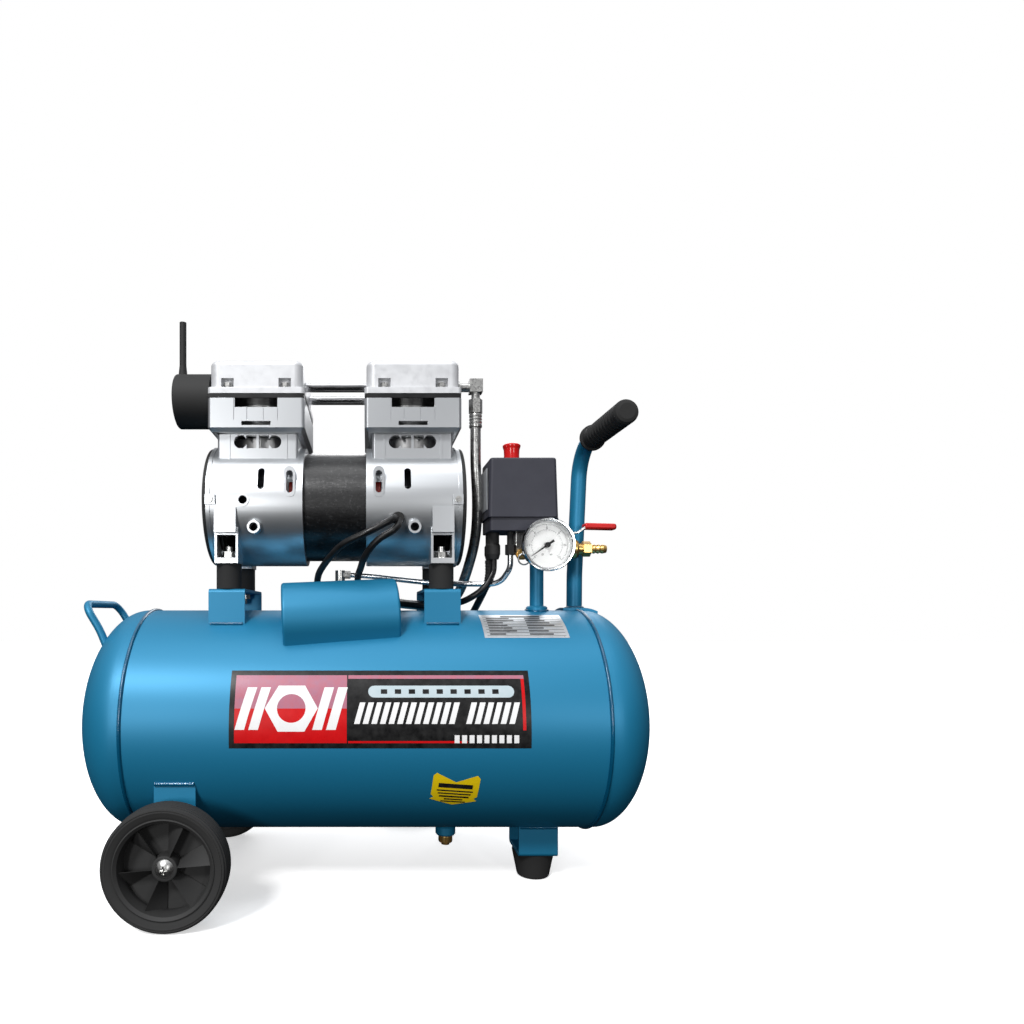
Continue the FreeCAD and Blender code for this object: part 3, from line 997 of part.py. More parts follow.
def make_leads():
    """Motor leads to the capacitor, the switch lead, and the mains cord with its coil and plug."""
    port_x = pump_x(1, str(LEAD_PORT[0]))
    port_z = f"pump_axis_z + {LEAD_PORT[1]}"
    face = "-bell_radius"
    grommet = turned("Y", port_x, f"{face} - 3", port_z, [
        ("0", "0"), ("6", "0"), ("6.6", "1"), ("6.6", "4.2"), ("4.4", "4.4"), ("4.4", "14"), ("0", "14")])
    node("lead_grommet", grommet)
    start_y = f"{face} - 3"
    upper = [(f"{port_x} - 2.6", start_y, f"{port_z} + 0.5"), (f"{port_x} - 6", "-81", f"{port_z} - 3"),
             (f"{port_x} - 30", "-84", f"{port_z} - 16"), ("-24", "-76", "359"), ("-40", "-62", "343"),
             ("-49", "-46", "332"), ("-52", "-30", "324"), ("-52", "-22", "312.5")]
    lower = [(f"{port_x} + 1.5", start_y, f"{port_z} - 2.5"), (f"{port_x} - 2", "-80", f"{port_z} - 12"),
             ("10", "-78", "362"), ("-2", "-70", "346"), ("-6", "-56", "334"), ("-8", "-40", "331"),
             ("-9", "-26", "325"), ("-10", "-20", "313")]
    bundle = []
    for name, points in (("upper", upper), ("lower", lower)):
        bundle.append(routed(name, points, "lead_radius", report=True))
    switch_lead = [("switch_left + 10", "-14", "switch_z - 29"), ("switch_left + 10", "-14", "tank_top_z + 42"),
                   ("switch_left - 1", "-19", "tank_top_z + 23"), ("switch_left - 22", "-12", "tank_top_z + 9"),
                   (pump_x(1, "mount_offset + 2"), "3", "tank_top_z + 5"), ("52", "4", "tank_top_z + 6"),
                   ("34", "-6", "tank_top_z + 8"), ("24", "-22", "tank_top_z + 7")]
    bundle.append(routed("switch_lead", switch_lead, "lead_radius", report=True))
    node("control_leads", group(*bundle))

    # The mains cord goes over the tank's shoulder and down its back to the ground.
    skin = "tank_radius + cord_radius + 3"

    def over(x, angle):
        """A point just off the tank's skin, at an angle back from its top."""
        return (x, f"({skin}) * sin({angle} * 1deg)", f"tank_axis_z + ({skin}) * cos({angle} * 1deg)")
    cord = [("switch_left + 10", "2", "switch_z - 29"), ("switch_left + 10", "2", "tank_top_z + 38"),
            ("switch_left + 2", "5", "tank_top_z + 20"), over("switch_left - 3", 10),
            over("switch_left - 5", 30),
            over("switch_left - 6", 52), over("switch_left - 7", 74), over("switch_left - 9", 93),
            ("switch_left - 12", "tank_radius + 7", "110"), ("switch_left - 15", "tank_radius + 9", "66"),
            ("switch_left - 17", "tank_radius + 16", "30"),
            ("switch_left - 18", "tank_radius + 36", "cord_radius + 3"),
            ("switch_left - 19", "tank_radius + 62", "cord_radius"),
            ("switch_left - 19", "tank_radius + 86", "cord_radius")]
    node("mains_cord", routed("mains_cord_run", cord, "cord_radius", report=True))
    coil_x = "switch_left - 19 - coil_turn_radius - cord_radius"
    coil_y = "tank_radius + 105"
    node("mains_coil", cut(
        rod("Z", "coil_turn_radius + 2 * cord_radius", "0", "6 * cord_radius", coil_x, coil_y),
        rod("Z", "coil_turn_radius - 2 * cord_radius", "-1", "7 * cord_radius", coil_x, coil_y)))
    plug_y = f"{coil_y} + coil_turn_radius + cord_radius"
    tail = rod("X", "cord_radius", f"{coil_x} - 42", f"{coil_x} - 18", plug_y, "10")
    relief = turned("X", f"{coil_x} - 70", plug_y, "10", [
        ("0", "0"), ("cord_radius + 2.4", "0"), ("cord_radius", "30"), ("0", "30")])
    body = fillet(box((f"{coil_x} - 104", f"{coil_x} - 68"), (f"{plug_y} - 14", f"{plug_y} + 14"),
                      ("0", "20")), "4",
                  lambda edge, spot: along(edge, Vector(1, 0, 0)))
    pins = [rod("X", "2.4", f"{coil_x} - 123", f"{coil_x} - 100", f"{plug_y} {shift}", "10")
            for shift in ("- 9.5", "+ 9.5")]
    node("mains_plug", fuse(tail, relief, body, *pins))


def export():
    """Checks every object and writes each sub-part to its own file."""
    document.recompute()
    for item in document.Objects:
        if {"Invalid", "Error"} & set(item.State):
            raise RuntimeError(f"{item.Label} ({item.TypeId}) failed: {item.State}")
    os.makedirs("parts", exist_ok=True)
    for name, piece in NODES.items():
        shape = piece.Shape
        if shape.isNull() or not shape.isValid() or not shape.Solids:
            raise RuntimeError(f"{name} has no valid solid")
        if min(solid.Volume for solid in shape.Solids) <= 0:
            raise RuntimeError(f"{name} has an empty solid")
        shape.exportStep(f"parts/{name}.step")
    print(f"{len(NODES)} nodes written")


make_tank()
make_pump_brackets()
make_handles()
make_capacitor()
make_wheels()
for bell_side, bell_word in SIDES:
    make_bell(bell_side, bell_word)
make_motor()
make_cylinders()
make_pump_fasteners()
make_pipework()
make_controls()
make_leads()
export()
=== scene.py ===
import json
import logging
import math
from dataclasses import dataclass, field
from enum import Enum
from typing import Callable, Iterable, Sequence

import bmesh
import bpy
from mathutils import Matrix, Vector

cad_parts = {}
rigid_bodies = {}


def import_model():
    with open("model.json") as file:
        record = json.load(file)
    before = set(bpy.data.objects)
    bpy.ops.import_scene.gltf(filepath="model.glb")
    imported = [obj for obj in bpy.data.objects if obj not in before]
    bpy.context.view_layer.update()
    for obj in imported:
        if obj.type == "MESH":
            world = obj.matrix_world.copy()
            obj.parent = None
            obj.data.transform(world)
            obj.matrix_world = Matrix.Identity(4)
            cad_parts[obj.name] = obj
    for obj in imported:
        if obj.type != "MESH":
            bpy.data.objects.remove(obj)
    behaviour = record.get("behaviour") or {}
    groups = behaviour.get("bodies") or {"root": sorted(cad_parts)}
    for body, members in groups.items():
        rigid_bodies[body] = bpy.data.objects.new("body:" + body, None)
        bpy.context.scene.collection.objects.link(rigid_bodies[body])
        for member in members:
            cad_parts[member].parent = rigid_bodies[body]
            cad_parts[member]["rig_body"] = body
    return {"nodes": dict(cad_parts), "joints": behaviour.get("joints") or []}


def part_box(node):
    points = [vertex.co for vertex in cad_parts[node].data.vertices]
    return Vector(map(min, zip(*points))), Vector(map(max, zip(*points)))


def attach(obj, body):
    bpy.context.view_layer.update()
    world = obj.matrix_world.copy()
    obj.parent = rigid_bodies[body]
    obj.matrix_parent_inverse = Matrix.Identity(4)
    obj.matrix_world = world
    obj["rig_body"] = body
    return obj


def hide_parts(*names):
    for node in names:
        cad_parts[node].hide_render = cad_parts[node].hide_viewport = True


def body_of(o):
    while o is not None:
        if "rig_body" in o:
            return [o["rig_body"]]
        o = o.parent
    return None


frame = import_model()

# The looks of a 24-litre air compressor with an oil-free twin-head pump. Metres, +Z up, the front is -Y.

log = logging.getLogger("compressor")
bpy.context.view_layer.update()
MM = 0.001
HARD_EDGE = math.radians(24.0)
Point = Sequence[float]
Colour = tuple[float, float, float]


class Axis(Enum):
    """The axis that a turned piece is turned about."""

    X = "X"
    Y = "Y"
    Z = "Z"

    def place(self, radius: float, angle: float, along: float) -> Vector:
        """A point at a radius and an angle about this axis."""
        first, second = radius * math.cos(angle), radius * math.sin(angle)
        if self is Axis.X:
            return Vector((along, first, second))
        if self is Axis.Y:
            return Vector((first, along, second))
        return Vector((first, second, along))


# ---------------------------------------------------------------- finishes


class Tree:
    """A material's node tree, with its main shader at hand."""

    def __init__(self, name: str) -> None:
        """Makes an empty material with one Principled shader."""
        self.material = bpy.data.materials.new(name)
        self.material.use_nodes = True
        self.nodes = self.material.node_tree.nodes
        self.links = self.material.node_tree.links
        self.shader = self.nodes["Principled BSDF"]
        self.place = self.nodes.new("ShaderNodeTexCoord").outputs["Object"]

    def settle(self, **values: object) -> None:
        """Sets constants on the main shader's own sockets, by name with underscores for spaces."""
        for name, value in values.items():
            self.shader.inputs[name.replace("_", " ")].default_value = value

    def noise(self, scale: float, detail: float = 3.0, rough: float = 0.55,
              stretch: Point = (1.0, 1.0, 1.0)) -> bpy.types.NodeSocket:
        """A noise value in the object's own space.

        Args:
            scale: cycles per metre.
            detail: octaves.
            rough: how strong the fine octaves are.
            stretch: how much finer the noise is along each axis.

        Returns:
            The factor socket.
        """
        mapping = self.nodes.new("ShaderNodeMapping")
        mapping.inputs["Scale"].default_value = tuple(stretch)
        self.links.new(self.place, mapping.inputs["Vector"])
        texture = self.nodes.new("ShaderNodeTexNoise")
        texture.inputs["Scale"].default_value = scale
        texture.inputs["Detail"].default_value = detail
        texture.inputs["Roughness"].default_value = rough
        self.links.new(mapping.outputs["Vector"], texture.inputs["Vector"])
        return texture.outputs["Fac"]

    def spread(self, source: bpy.types.NodeSocket, low: float, high: float,
               start: float = 0.3, end: float = 0.7) -> bpy.types.NodeSocket:
        """Maps a value between start and end to low and high, clamped."""
        node = self.nodes.new("ShaderNodeMapRange")
        node.inputs["From Min"].default_value = start
        node.inputs["From Max"].default_value = end
        node.inputs["To Min"].default_value = low
        node.inputs["To Max"].default_value = high
        self.links.new(source, node.inputs["Value"])
        return node.outputs["Result"]

    def blend(self, factor: bpy.types.NodeSocket, first: Colour, second: Colour) -> bpy.types.NodeSocket:
        """A colour between two, by a factor."""
        node = self.nodes.new("ShaderNodeMix")
        node.data_type = "RGBA"
        node.inputs["A"].default_value = (*first, 1.0)
        node.inputs["B"].default_value = (*second, 1.0)
        self.links.new(factor, node.inputs["Factor"])
        return node.outputs["Result"]

    def mottle(self, finish: "Finish", scale: float, detail: float = 3.0, rough: float = 0.55,
               start: float = 0.3, end: float = 0.7) -> None:
        """Feeds the shader's colour with a noise between a finish's two tones."""
        factor = self.spread(self.noise(scale, detail, rough), 0.0, 1.0, start, end)
        self.links.new(self.blend(factor, finish.tone, finish.worn), self.shader.inputs["Base Color"])

    def sheen(self, scale: float, detail: float, low: float, high: float, rough: float = 0.55,
              stretch: Point = (1.0, 1.0, 1.0)) -> None:
        """Feeds the shader's roughness with a noise between two values."""
        source = self.spread(self.noise(scale, detail, rough, stretch), low, high)
        self.links.new(source, self.shader.inputs["Roughness"])

    def grain(self, scale: float, detail: float, height: float, strength: float, rough: float = 0.55) -> None:
        """Adds a bump of fine noise."""
        self.bump(self.noise(scale, detail, rough), height, strength)

    def bump(self, source: bpy.types.NodeSocket, height: float, strength: float = 1.0) -> None:
        """Adds a bump of a height in metres on top of the ones before it."""
        node = self.nodes.new("ShaderNodeBump")
        node.inputs["Strength"].default_value = strength
        node.inputs["Distance"].default_value = height
        self.links.new(source, node.inputs["Height"])
        normal = self.shader.inputs["Normal"]
        if normal.is_linked:
            self.links.new(normal.links[0].from_socket, node.inputs["Normal"])
        self.links.new(node.outputs["Normal"], normal)


@dataclass(frozen=True)
class Finish:
    """A finish that is made once and shared."""

    name: str
    tone: Colour
    worn: Colour

    def tree(self) -> Tree:
        """The finish's node tree; each kind of finish makes its own."""
        raise NotImplementedError

    def material(self) -> bpy.types.Material:
        """The finish's material, made at its first use."""
        return bpy.data.materials.get(self.name) or self.tree().material


@dataclass(frozen=True)
class GlossPaint(Finish):
    """Sprayed enamel: a fine metal flake, a little orange peel and dust in the clear coat."""

    flake: float = 0.18
    rough: float = 0.3

    def tree(self) -> Tree:
        """Colour drifts slowly over the panels, with flake under a clear coat."""
        tree = Tree(self.name)
        tree.mottle(self, 9.0, 4.0, 0.6)
        tree.settle(Metallic=self.flake, Specular_IOR_Level=0.25, Coat_Weight=1.0, Coat_Roughness=0.035,
                    Coat_IOR=1.5)
        tree.sheen(42.0, 5.0, self.rough - 0.05, self.rough + 0.1, 0.7)
        tree.grain(210.0, 2.0, 0.00009, 0.55, 0.5)
        tree.grain(2600.0, 1.0, 0.00001, 0.5, 0.5)
        return tree


@dataclass(frozen=True)
class CastAlloy(Finish):
    """Die-cast aluminium: matt skin with flow marks and a fine grain."""

    metal: float = 0.45

    def tree(self) -> Tree:
        """Flow marks in the colour and sheen, grain in the surface."""
        tree = Tree(self.name)
        tree.mottle(self, 26.0, 6.0, 0.62, 0.35, 0.65)
        tree.settle(Metallic=self.metal, Specular_IOR_Level=0.6)
        tree.sheen(120.0, 4.0, 0.34, 0.52, 0.6)
        tree.grain(900.0, 3.0, 0.00006, 0.45, 0.6)
        tree.grain(60.0, 4.0, 0.0002, 0.12, 0.5)
        return tree


@dataclass(frozen=True)
class Metal(Finish):
    """Bare, plated or polished metal with fine handling marks."""

    rough: float = 0.22
    grain: Point = (1.0, 1.0, 1.0)

    def tree(self) -> Tree:
        """Marks follow the grain's direction."""
        tree = Tree(self.name)
        marks = tree.noise(160.0, 5.0, 0.6, self.grain)
        tones = tree.blend(tree.spread(marks, 0.0, 1.0), self.tone, self.worn)
        tree.links.new(tones, tree.shader.inputs["Base Color"])
        tree.settle(Metallic=1.0)
        tree.sheen(500.0, 4.0, self.rough * 0.7, self.rough * 1.5, 0.7, self.grain)
        tree.bump(marks, 0.00003, 0.3)
        return tree


@dataclass(frozen=True)
class Moulded(Finish):
    """Moulded plastic with a fine spark-eroded grain."""

    rough: float = 0.42
    gloss: float = 0.0

    def tree(self) -> Tree:
        """The grain is fine; the sheen drifts where hands have rubbed it."""
        tree = Tree(self.name)
        tree.mottle(self, 30.0, 4.0)
        tree.settle(Coat_Weight=self.gloss, Coat_Roughness=0.1, Specular_IOR_Level=0.34)
        tree.sheen(55.0, 5.0, self.rough - 0.06, self.rough + 0.1)
        tree.grain(1500.0, 2.0, 0.00005, 0.5, 0.5)
        return tree


@dataclass(frozen=True)
class Rubber(Finish):
    """Vulcanised rubber or cable jacket, dusty in places."""

    rough: float = 0.62

    def tree(self) -> Tree:
        """A pale bloom sits in patches on the black."""
        tree = Tree(self.name)
        tree.mottle(self, 45.0, 6.0, 0.7, 0.4, 0.75)
        tree.settle(Specular_IOR_Level=0.35, Sheen_Weight=0.03, Sheen_Roughness=0.5)
        tree.sheen(80.0, 5.0, self.rough - 0.1, self.rough + 0.12)
        tree.grain(700.0, 3.0, 0.00005, 0.4)
        return tree


@dataclass(frozen=True)
class Laminated(Finish):
    """A stack of thin steel sheets, edge on, under black varnish."""

    pitch: float = 0.0012

    def tree(self) -> Tree:
        """The sheets' edges run round the core, so they repeat along X."""
        tree = Tree(self.name)
        wave = tree.nodes.new("ShaderNodeTexWave")
        wave.bands_direction = "X"
        wave.inputs["Scale"].default_value = 0.3 / self.pitch
        wave.inputs["Distortion"].default_value = 0.6
        wave.inputs["Detail"].default_value = 2.0
        tree.links.new(tree.place, wave.inputs["Vector"])
        tree.mottle(self, 260.0, 6.0, 0.8, 0.55, 0.8)
        tree.settle(Metallic=0.25, Coat_Weight=0.5, Coat_Roughness=0.22)
        tree.sheen(300.0, 5.0, 0.26, 0.6, 0.75, (0.3, 2.0, 2.0))
        tree.bump(wave.outputs["Fac"], 0.00012, 0.5)
        tree.grain(420.0, 4.0, 0.00025, 0.5, 0.7)
        return tree


@dataclass(frozen=True)
class Print(Finish):
    """Printed vinyl or foil: flat colour with a slight ink mottle."""

    rough: float = 0.28
    metal: float = 0.0

    def tree(self) -> Tree:
        """Ink mottle in the colour, and a smooth surface."""
        tree = Tree(self.name)
        tree.mottle(self, 140.0)
        tree.settle(Metallic=self.metal, Specular_IOR_Level=0.25)
        tree.sheen(60.0, 4.0, self.rough - 0.04, self.rough + 0.08)
        tree.grain(240.0, 2.0, 0.00003, 0.3)
        return tree


@dataclass(frozen=True)
class ClearLens(Finish):
    """The gauge's clear cover."""

    def tree(self) -> Tree:
        """Thin clear glass that lets the dial show."""
        tree = Tree(self.name)
        tree.mottle(self, 25.0)
        tree.settle(Transmission_Weight=1.0, IOR=1.12, Alpha=0.25)
        tree.sheen(90.0, 4.0, 0.02, 0.06)
        return tree


TANK_PAINT = GlossPaint("tank_paint", (0.0004, 0.070, 0.155), (0.0006, 0.082, 0.175))
WELD_PAINT = GlossPaint("weld_paint", (0.0004, 0.066, 0.145), (0.001, 0.10, 0.20), rough=0.26)
CAST_ALLOY = CastAlloy("cast_alloy", (0.66, 0.68, 0.70), (0.58, 0.60, 0.62))
BRIGHT_ALLOY = CastAlloy("bright_alloy", (0.74, 0.75, 0.77), (0.68, 0.69, 0.71), metal=0.35)
ZINC = Metal("zinc_plate", (0.62, 0.62, 0.60), (0.48, 0.48, 0.47), rough=0.3)
POLISHED = Metal("polished_tube", (0.78, 0.78, 0.79), (0.66, 0.66, 0.67), rough=0.16, grain=(0.2, 3.0, 3.0))
DRAWN_ALLOY = Metal("drawn_alloy", (0.80, 0.81, 0.82), (0.68, 0.69, 0.70), rough=0.28)
GROUND_STEEL = Metal("ground_steel", (0.5, 0.49, 0.46), (0.34, 0.32, 0.29), rough=0.32)
BRASS = Metal("brass", (0.83, 0.52, 0.17), (0.62, 0.36, 0.10), rough=0.2)
CHROME = Metal("chrome_case", (0.58, 0.59, 0.61), (0.48, 0.49, 0.51), rough=0.14)
BRAID = Metal("steel_braid", (0.55, 0.55, 0.54), (0.3, 0.3, 0.29), rough=0.3)
BLACK_METAL = Moulded("black_enamel", (0.005, 0.005, 0.0055), (0.010, 0.010, 0.011), rough=0.36, gloss=0.3)
LAMINATIONS = Laminated("varnished_laminations", (0.004, 0.004, 0.0045), (0.09, 0.09, 0.093))
COPPER = Moulded("enamelled_wire", (0.5, 0.045, 0.02), (0.32, 0.02, 0.015), rough=0.3, gloss=0.5)
BLACK_RUBBER = Rubber("black_rubber", (0.006, 0.006, 0.0065), (0.014, 0.014, 0.0145), rough=0.5)
TYRE_RUBBER = Rubber("tyre_rubber", (0.005, 0.005, 0.0055), (0.012, 0.012, 0.013), rough=0.56)
CABLE = Rubber("cable_jacket", (0.004, 0.004, 0.0045), (0.009, 0.009, 0.0095), rough=0.34)
HUB_PLASTIC = Moulded("hub_plastic", (0.003, 0.003, 0.0035), (0.007, 0.007, 0.008), rough=0.34, gloss=0.25)
SLATE_PLASTIC = Moulded("slate_plastic", (0.036, 0.037, 0.050), (0.044, 0.045, 0.060), rough=0.5)
BLACK_PLASTIC = Moulded("black_plastic", (0.004, 0.004, 0.0045), (0.008, 0.008, 0.0085), rough=0.42)
RED_PLASTIC = Moulded("red_plastic", (0.60, 0.012, 0.014), (0.5, 0.008, 0.01), rough=0.36, gloss=0.35)
RED_VINYL = Moulded("red_vinyl", (0.72, 0.02, 0.016), (0.6, 0.014, 0.012), rough=0.34, gloss=0.4)
DIAL_WHITE = Print("dial_white", (0.88, 0.88, 0.87), (0.84, 0.84, 0.83), rough=0.5)
INK_BLACK = Print("ink_black", (0.003, 0.003, 0.0035), (0.02, 0.02, 0.02), rough=0.3)
INK_RED = Print("ink_red", (0.62, 0.006, 0.008), (0.54, 0.004, 0.006))
INK_PINK = Print("ink_pink", (0.46, 0.15, 0.20), (0.40, 0.17, 0.24))
INK_PALE = Print("ink_pale", (0.46, 0.56, 0.60), (0.52, 0.60, 0.64))
INK_WHITE = Print("ink_white", (0.86, 0.86, 0.86), (0.82, 0.82, 0.82))
STICKER_YELLOW = Print("sticker_yellow", (0.86, 0.62, 0.006), (0.80, 0.56, 0.008))
FOIL = Print("plate_foil", (0.62, 0.64, 0.66), (0.52, 0.55, 0.58), rough=0.3, metal=0.6)
LENS = ClearLens("gauge_lens", (0.96, 0.97, 0.98), (0.94, 0.95, 0.97))


# ---------------------------------------------------------------- mesh tools


def linked(name: str, data: bpy.types.ID) -> bpy.types.Object:
    """A new object in the scene that shows a mesh, curve, light or camera."""
    piece = bpy.data.objects.new(name, data)
    bpy.context.scene.collection.objects.link(piece)
    return piece


def made(name: str, work: bmesh.types.BMesh, finish: Finish, body: str = "frame",
         angle: float = 32.0) -> bpy.types.Object:
    """Turns a worked mesh into a piece that rides on a body.

    Args:
        name: the piece's name.
        work: the mesh under work, which is freed.
        finish: its finish.
        body: the body it rides on.
        angle: the angle in degrees above which an edge stays hard.

    Returns:
        The new object.
    """
    bmesh.ops.recalc_face_normals(work, faces=work.faces)
    mesh = bpy.data.meshes.new(name)
    work.to_mesh(mesh)
    work.free()
    mesh.materials.append(finish.material())
    mesh.shade_smooth()
    mesh.set_sharp_from_angle(angle=math.radians(angle))
    piece = linked(name, mesh)
    piece.modifiers.new("weighted", "WEIGHTED_NORMAL").keep_sharp = True
    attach(piece, body)
    log.info("%s: %d faces on %s", name, len(mesh.polygons), body)
    return piece


def softened(node: str, finish: Finish, width: float = 0.5 * MM, segments: int = 2,
             taper: float = 0.0) -> None:
    """A copy of a CAD node with its hard edges broken, which stands for the node.

    Args:
        node: the CAD node.
        finish: the finish it gets.
        width: how wide the broken edge is, in metres.
        segments: how many faces go round each edge.
        taper: the share by which the top is narrower than the bottom.
    """
    source = frame["nodes"][node]
    work = bmesh.new()
    work.from_mesh(source.data)
    bmesh.ops.remove_doubles(work, verts=work.verts, dist=2e-6)
    bmesh.ops.dissolve_limit(work, angle_limit=math.radians(0.4), verts=work.verts, edges=work.edges,
                             use_dissolve_boundaries=False)
    hard = [edge for edge in work.edges if edge.is_manifold and edge.calc_face_angle(0.0) > HARD_EDGE]
    bmesh.ops.bevel(work, geom=hard, offset=width, offset_type="OFFSET", segments=segments, profile=0.6,
                    affect="EDGES", clamp_overlap=True, loop_slide=True)
    bmesh.ops.remove_doubles(work, verts=work.verts, dist=1e-6)
    start, end = low(node), high(node)
    middle = (start + end) / 2
    for vertex in work.verts:
        share = 1.0 - taper * (vertex.co.z - start.z) / (end.z - start.z)
        vertex.co.x = middle.x + (vertex.co.x - middle.x) * share
        vertex.co.y = middle.y + (vertex.co.y - middle.y) * share
    piece = made(f"{node}_finished", work, finish, body_of(source)[0])
    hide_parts(node)


def dressed(node: str, finish: Finish) -> None:
    """Gives a CAD node its finish and leaves its shape as it is."""
    piece = frame["nodes"][node]
    for place in piece.material_slots:
        place.material = finish.material()
    log.info("%s: dressed in %s", node, finish.name)


def bridged(work: bmesh.types.BMesh, rings: Sequence[Sequence[bmesh.types.BMVert]],
            closed: bool = False) -> None:
    """Joins each ring of points to the next with faces; a ring may be a single point."""
    count = max(len(ring) for ring in rings)
    pairs = list(zip(rings, rings[1:])) + ([(rings[-1], rings[0])] if closed else [])
    for first, second in pairs:
        for step in range(count):
            after = (step + 1) % count
            corners = [first[step % len(first)], first[after % len(first)],
                       second[after % len(second)], second[step % len(second)]]
            unique = list(dict.fromkeys(corners))
            if len(unique) > 2:
                work.faces.new(unique)


def lathe(work: bmesh.types.BMesh, axis: Axis, centre: Point, profile: Sequence[tuple[float, float]],
          count: int = 96, closed: bool = False) -> None:
    """Turns a profile about an axis into the mesh under work.

    Args:
        work: the mesh under work.
        axis: the axis it is turned about.
        centre: a point on the axis.
        profile: pairs of radius and distance along the axis from the centre.
        count: how many steps go round.
        closed: whether the profile's end joins its start.
    """
    middle = Vector(centre)
    rings = []
    for radius, along in profile:
        if radius < 1e-7:
            rings.append([work.verts.new(middle + axis.place(0.0, 0.0, along))])
        else:
            rings.append([work.verts.new(middle + axis.place(radius, math.tau * step / count, along))
                          for step in range(count)])
    bridged(work, rings, closed)


def turned(name: str, axis: Axis, centre: Point, profile: Sequence[tuple[float, float]], finish: Finish,
           body: str = "frame", count: int = 96, closed: bool = False,
           angle: float = 32.0) -> bpy.types.Object:
    """A piece turned about an axis; see lathe and made."""
    work = bmesh.new()
    lathe(work, axis, centre, profile, count, closed)
    return made(name, work, finish, body, angle)


def frames_along(points: Sequence[Vector]) -> list[tuple[Vector, Vector, Vector]]:
    """A point and two crosswise directions for each point of a line, turning as little as they can."""
    side = (points[1] - points[0]).normalized().orthogonal().normalized()
    result = []
    for index, spot in enumerate(points):
        before = points[max(index - 1, 0)]
        after = points[min(index + 1, len(points) - 1)]
        heading = (after - before).normalized()
        side = (side - heading * side.dot(heading)).normalized()
        result.append((spot, side, heading.cross(side)))
    return result


def tube(work: bmesh.types.BMesh, points: Sequence[Vector], reach: Callable[[float, float], float],
         count: int) -> None:
    """Sweeps a round section along a line; its radius may vary.

    Args:
        work: the mesh under work.
        points: the line.
        reach: the radius at a distance along the line and an angle round it.
        count: how many steps go round.
    """
    travelled = 0.0
    rings = []
    previous = points[0]
    for spot, side, up in frames_along(points):
        travelled += (spot - previous).length
        previous = spot
        turns = [math.tau * step / count for step in range(count)]
        outward = [(side * math.cos(turn) + up * math.sin(turn)) * reach(travelled, turn) for turn in turns]
        rings.append([work.verts.new(spot + arm) for arm in outward])
    bridged(work, rings)
    work.faces.new(rings[0])
    work.faces.new(list(reversed(rings[-1])))


def weld(name: str, lines: Iterable[Sequence[Vector]], radius: float = 1.9 * MM,
         pitch: float = 1.5 * MM) -> bpy.types.Object:
    """A painted weld bead along each line, rippled as the weld pool left it."""
    work = bmesh.new()

    def ripple(along: float, angle: float) -> float:
        """The bead's radius at a distance along it."""
        return radius * (0.86 + 0.14 * abs(math.sin(math.pi * along / pitch)))

    for line in lines:
        tube(work, resample(line, pitch / 3.0), ripple, 10)
    return made(name, work, WELD_PAINT, angle=60.0)


def resample(line: Sequence[Vector], step: float) -> list[Vector]:
    """Points about a step apart along a line of straight runs."""
    result = [Vector(line[0])]
    for start, end in zip(line, line[1:]):
        start, end = Vector(start), Vector(end)
        count = max(1, round((end - start).length / step))
        result += [start.lerp(end, index / count) for index in range(1, count + 1)]
    return result


def smooth_curve(name: str, points: Iterable[Point], radius: float = 0.0) -> bpy.types.Object:
    """A smooth open curve with the points as its control points.

    Args:
        name: the curve's name.
        points: control points in metres.
        radius: the radius of its round section; 0 leaves a bare line.

    Returns:
        The curve's object.
    """
    spots = [tuple(point) for point in points]
    data = bpy.data.curves.new(name, "CURVE")
    data.dimensions = "3D"
    data.resolution_u = 12
    data.bevel_depth = radius
    data.bevel_resolution = 5
    data.use_fill_caps = True
    spline = data.splines.new("NURBS")
    spline.points.add(len(spots) - 1)
    for control, spot in zip(spline.points, spots):
        control.co = (*spot, 1.0)
    spline.order_u = 3
    spline.use_endpoint_u = True
    return linked(name, data)


def mesh_from(holder: bpy.types.Object) -> bpy.types.Mesh:
    """The mesh of a curve or text object, which is removed."""
    bpy.context.view_layer.update()
    mesh = bpy.data.meshes.new_from_object(holder)
    bpy.data.objects.remove(holder)
    return mesh


def centreline(points: Iterable[Point], step: float) -> list[Vector]:
    """The line that a smooth curve through a route takes, read from the curve itself."""
    mesh = mesh_from(smooth_curve("route", points))
    line = [vertex.co.copy() for vertex in mesh.vertices]
    bpy.data.meshes.remove(mesh)
    return resample(line, step)


def middle_of(node: str) -> Vector:
    """The middle of a CAD node's box."""
    return (low(node) + high(node)) / 2


def joint_place(name: str) -> Vector:
    """Where a joint turns or slides from, as the record says."""
    return Vector(next(joint for joint in frame["joints"] if joint["name"] == name)["pos_m"])


def low(node: str) -> Vector:
    """The lowest corner of a CAD node's box."""
    return Vector(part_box(node)[0])


def high(node: str) -> Vector:
    """The highest corner of a CAD node's box."""
    return Vector(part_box(node)[1])


# ---------------------------------------------------------------- studio


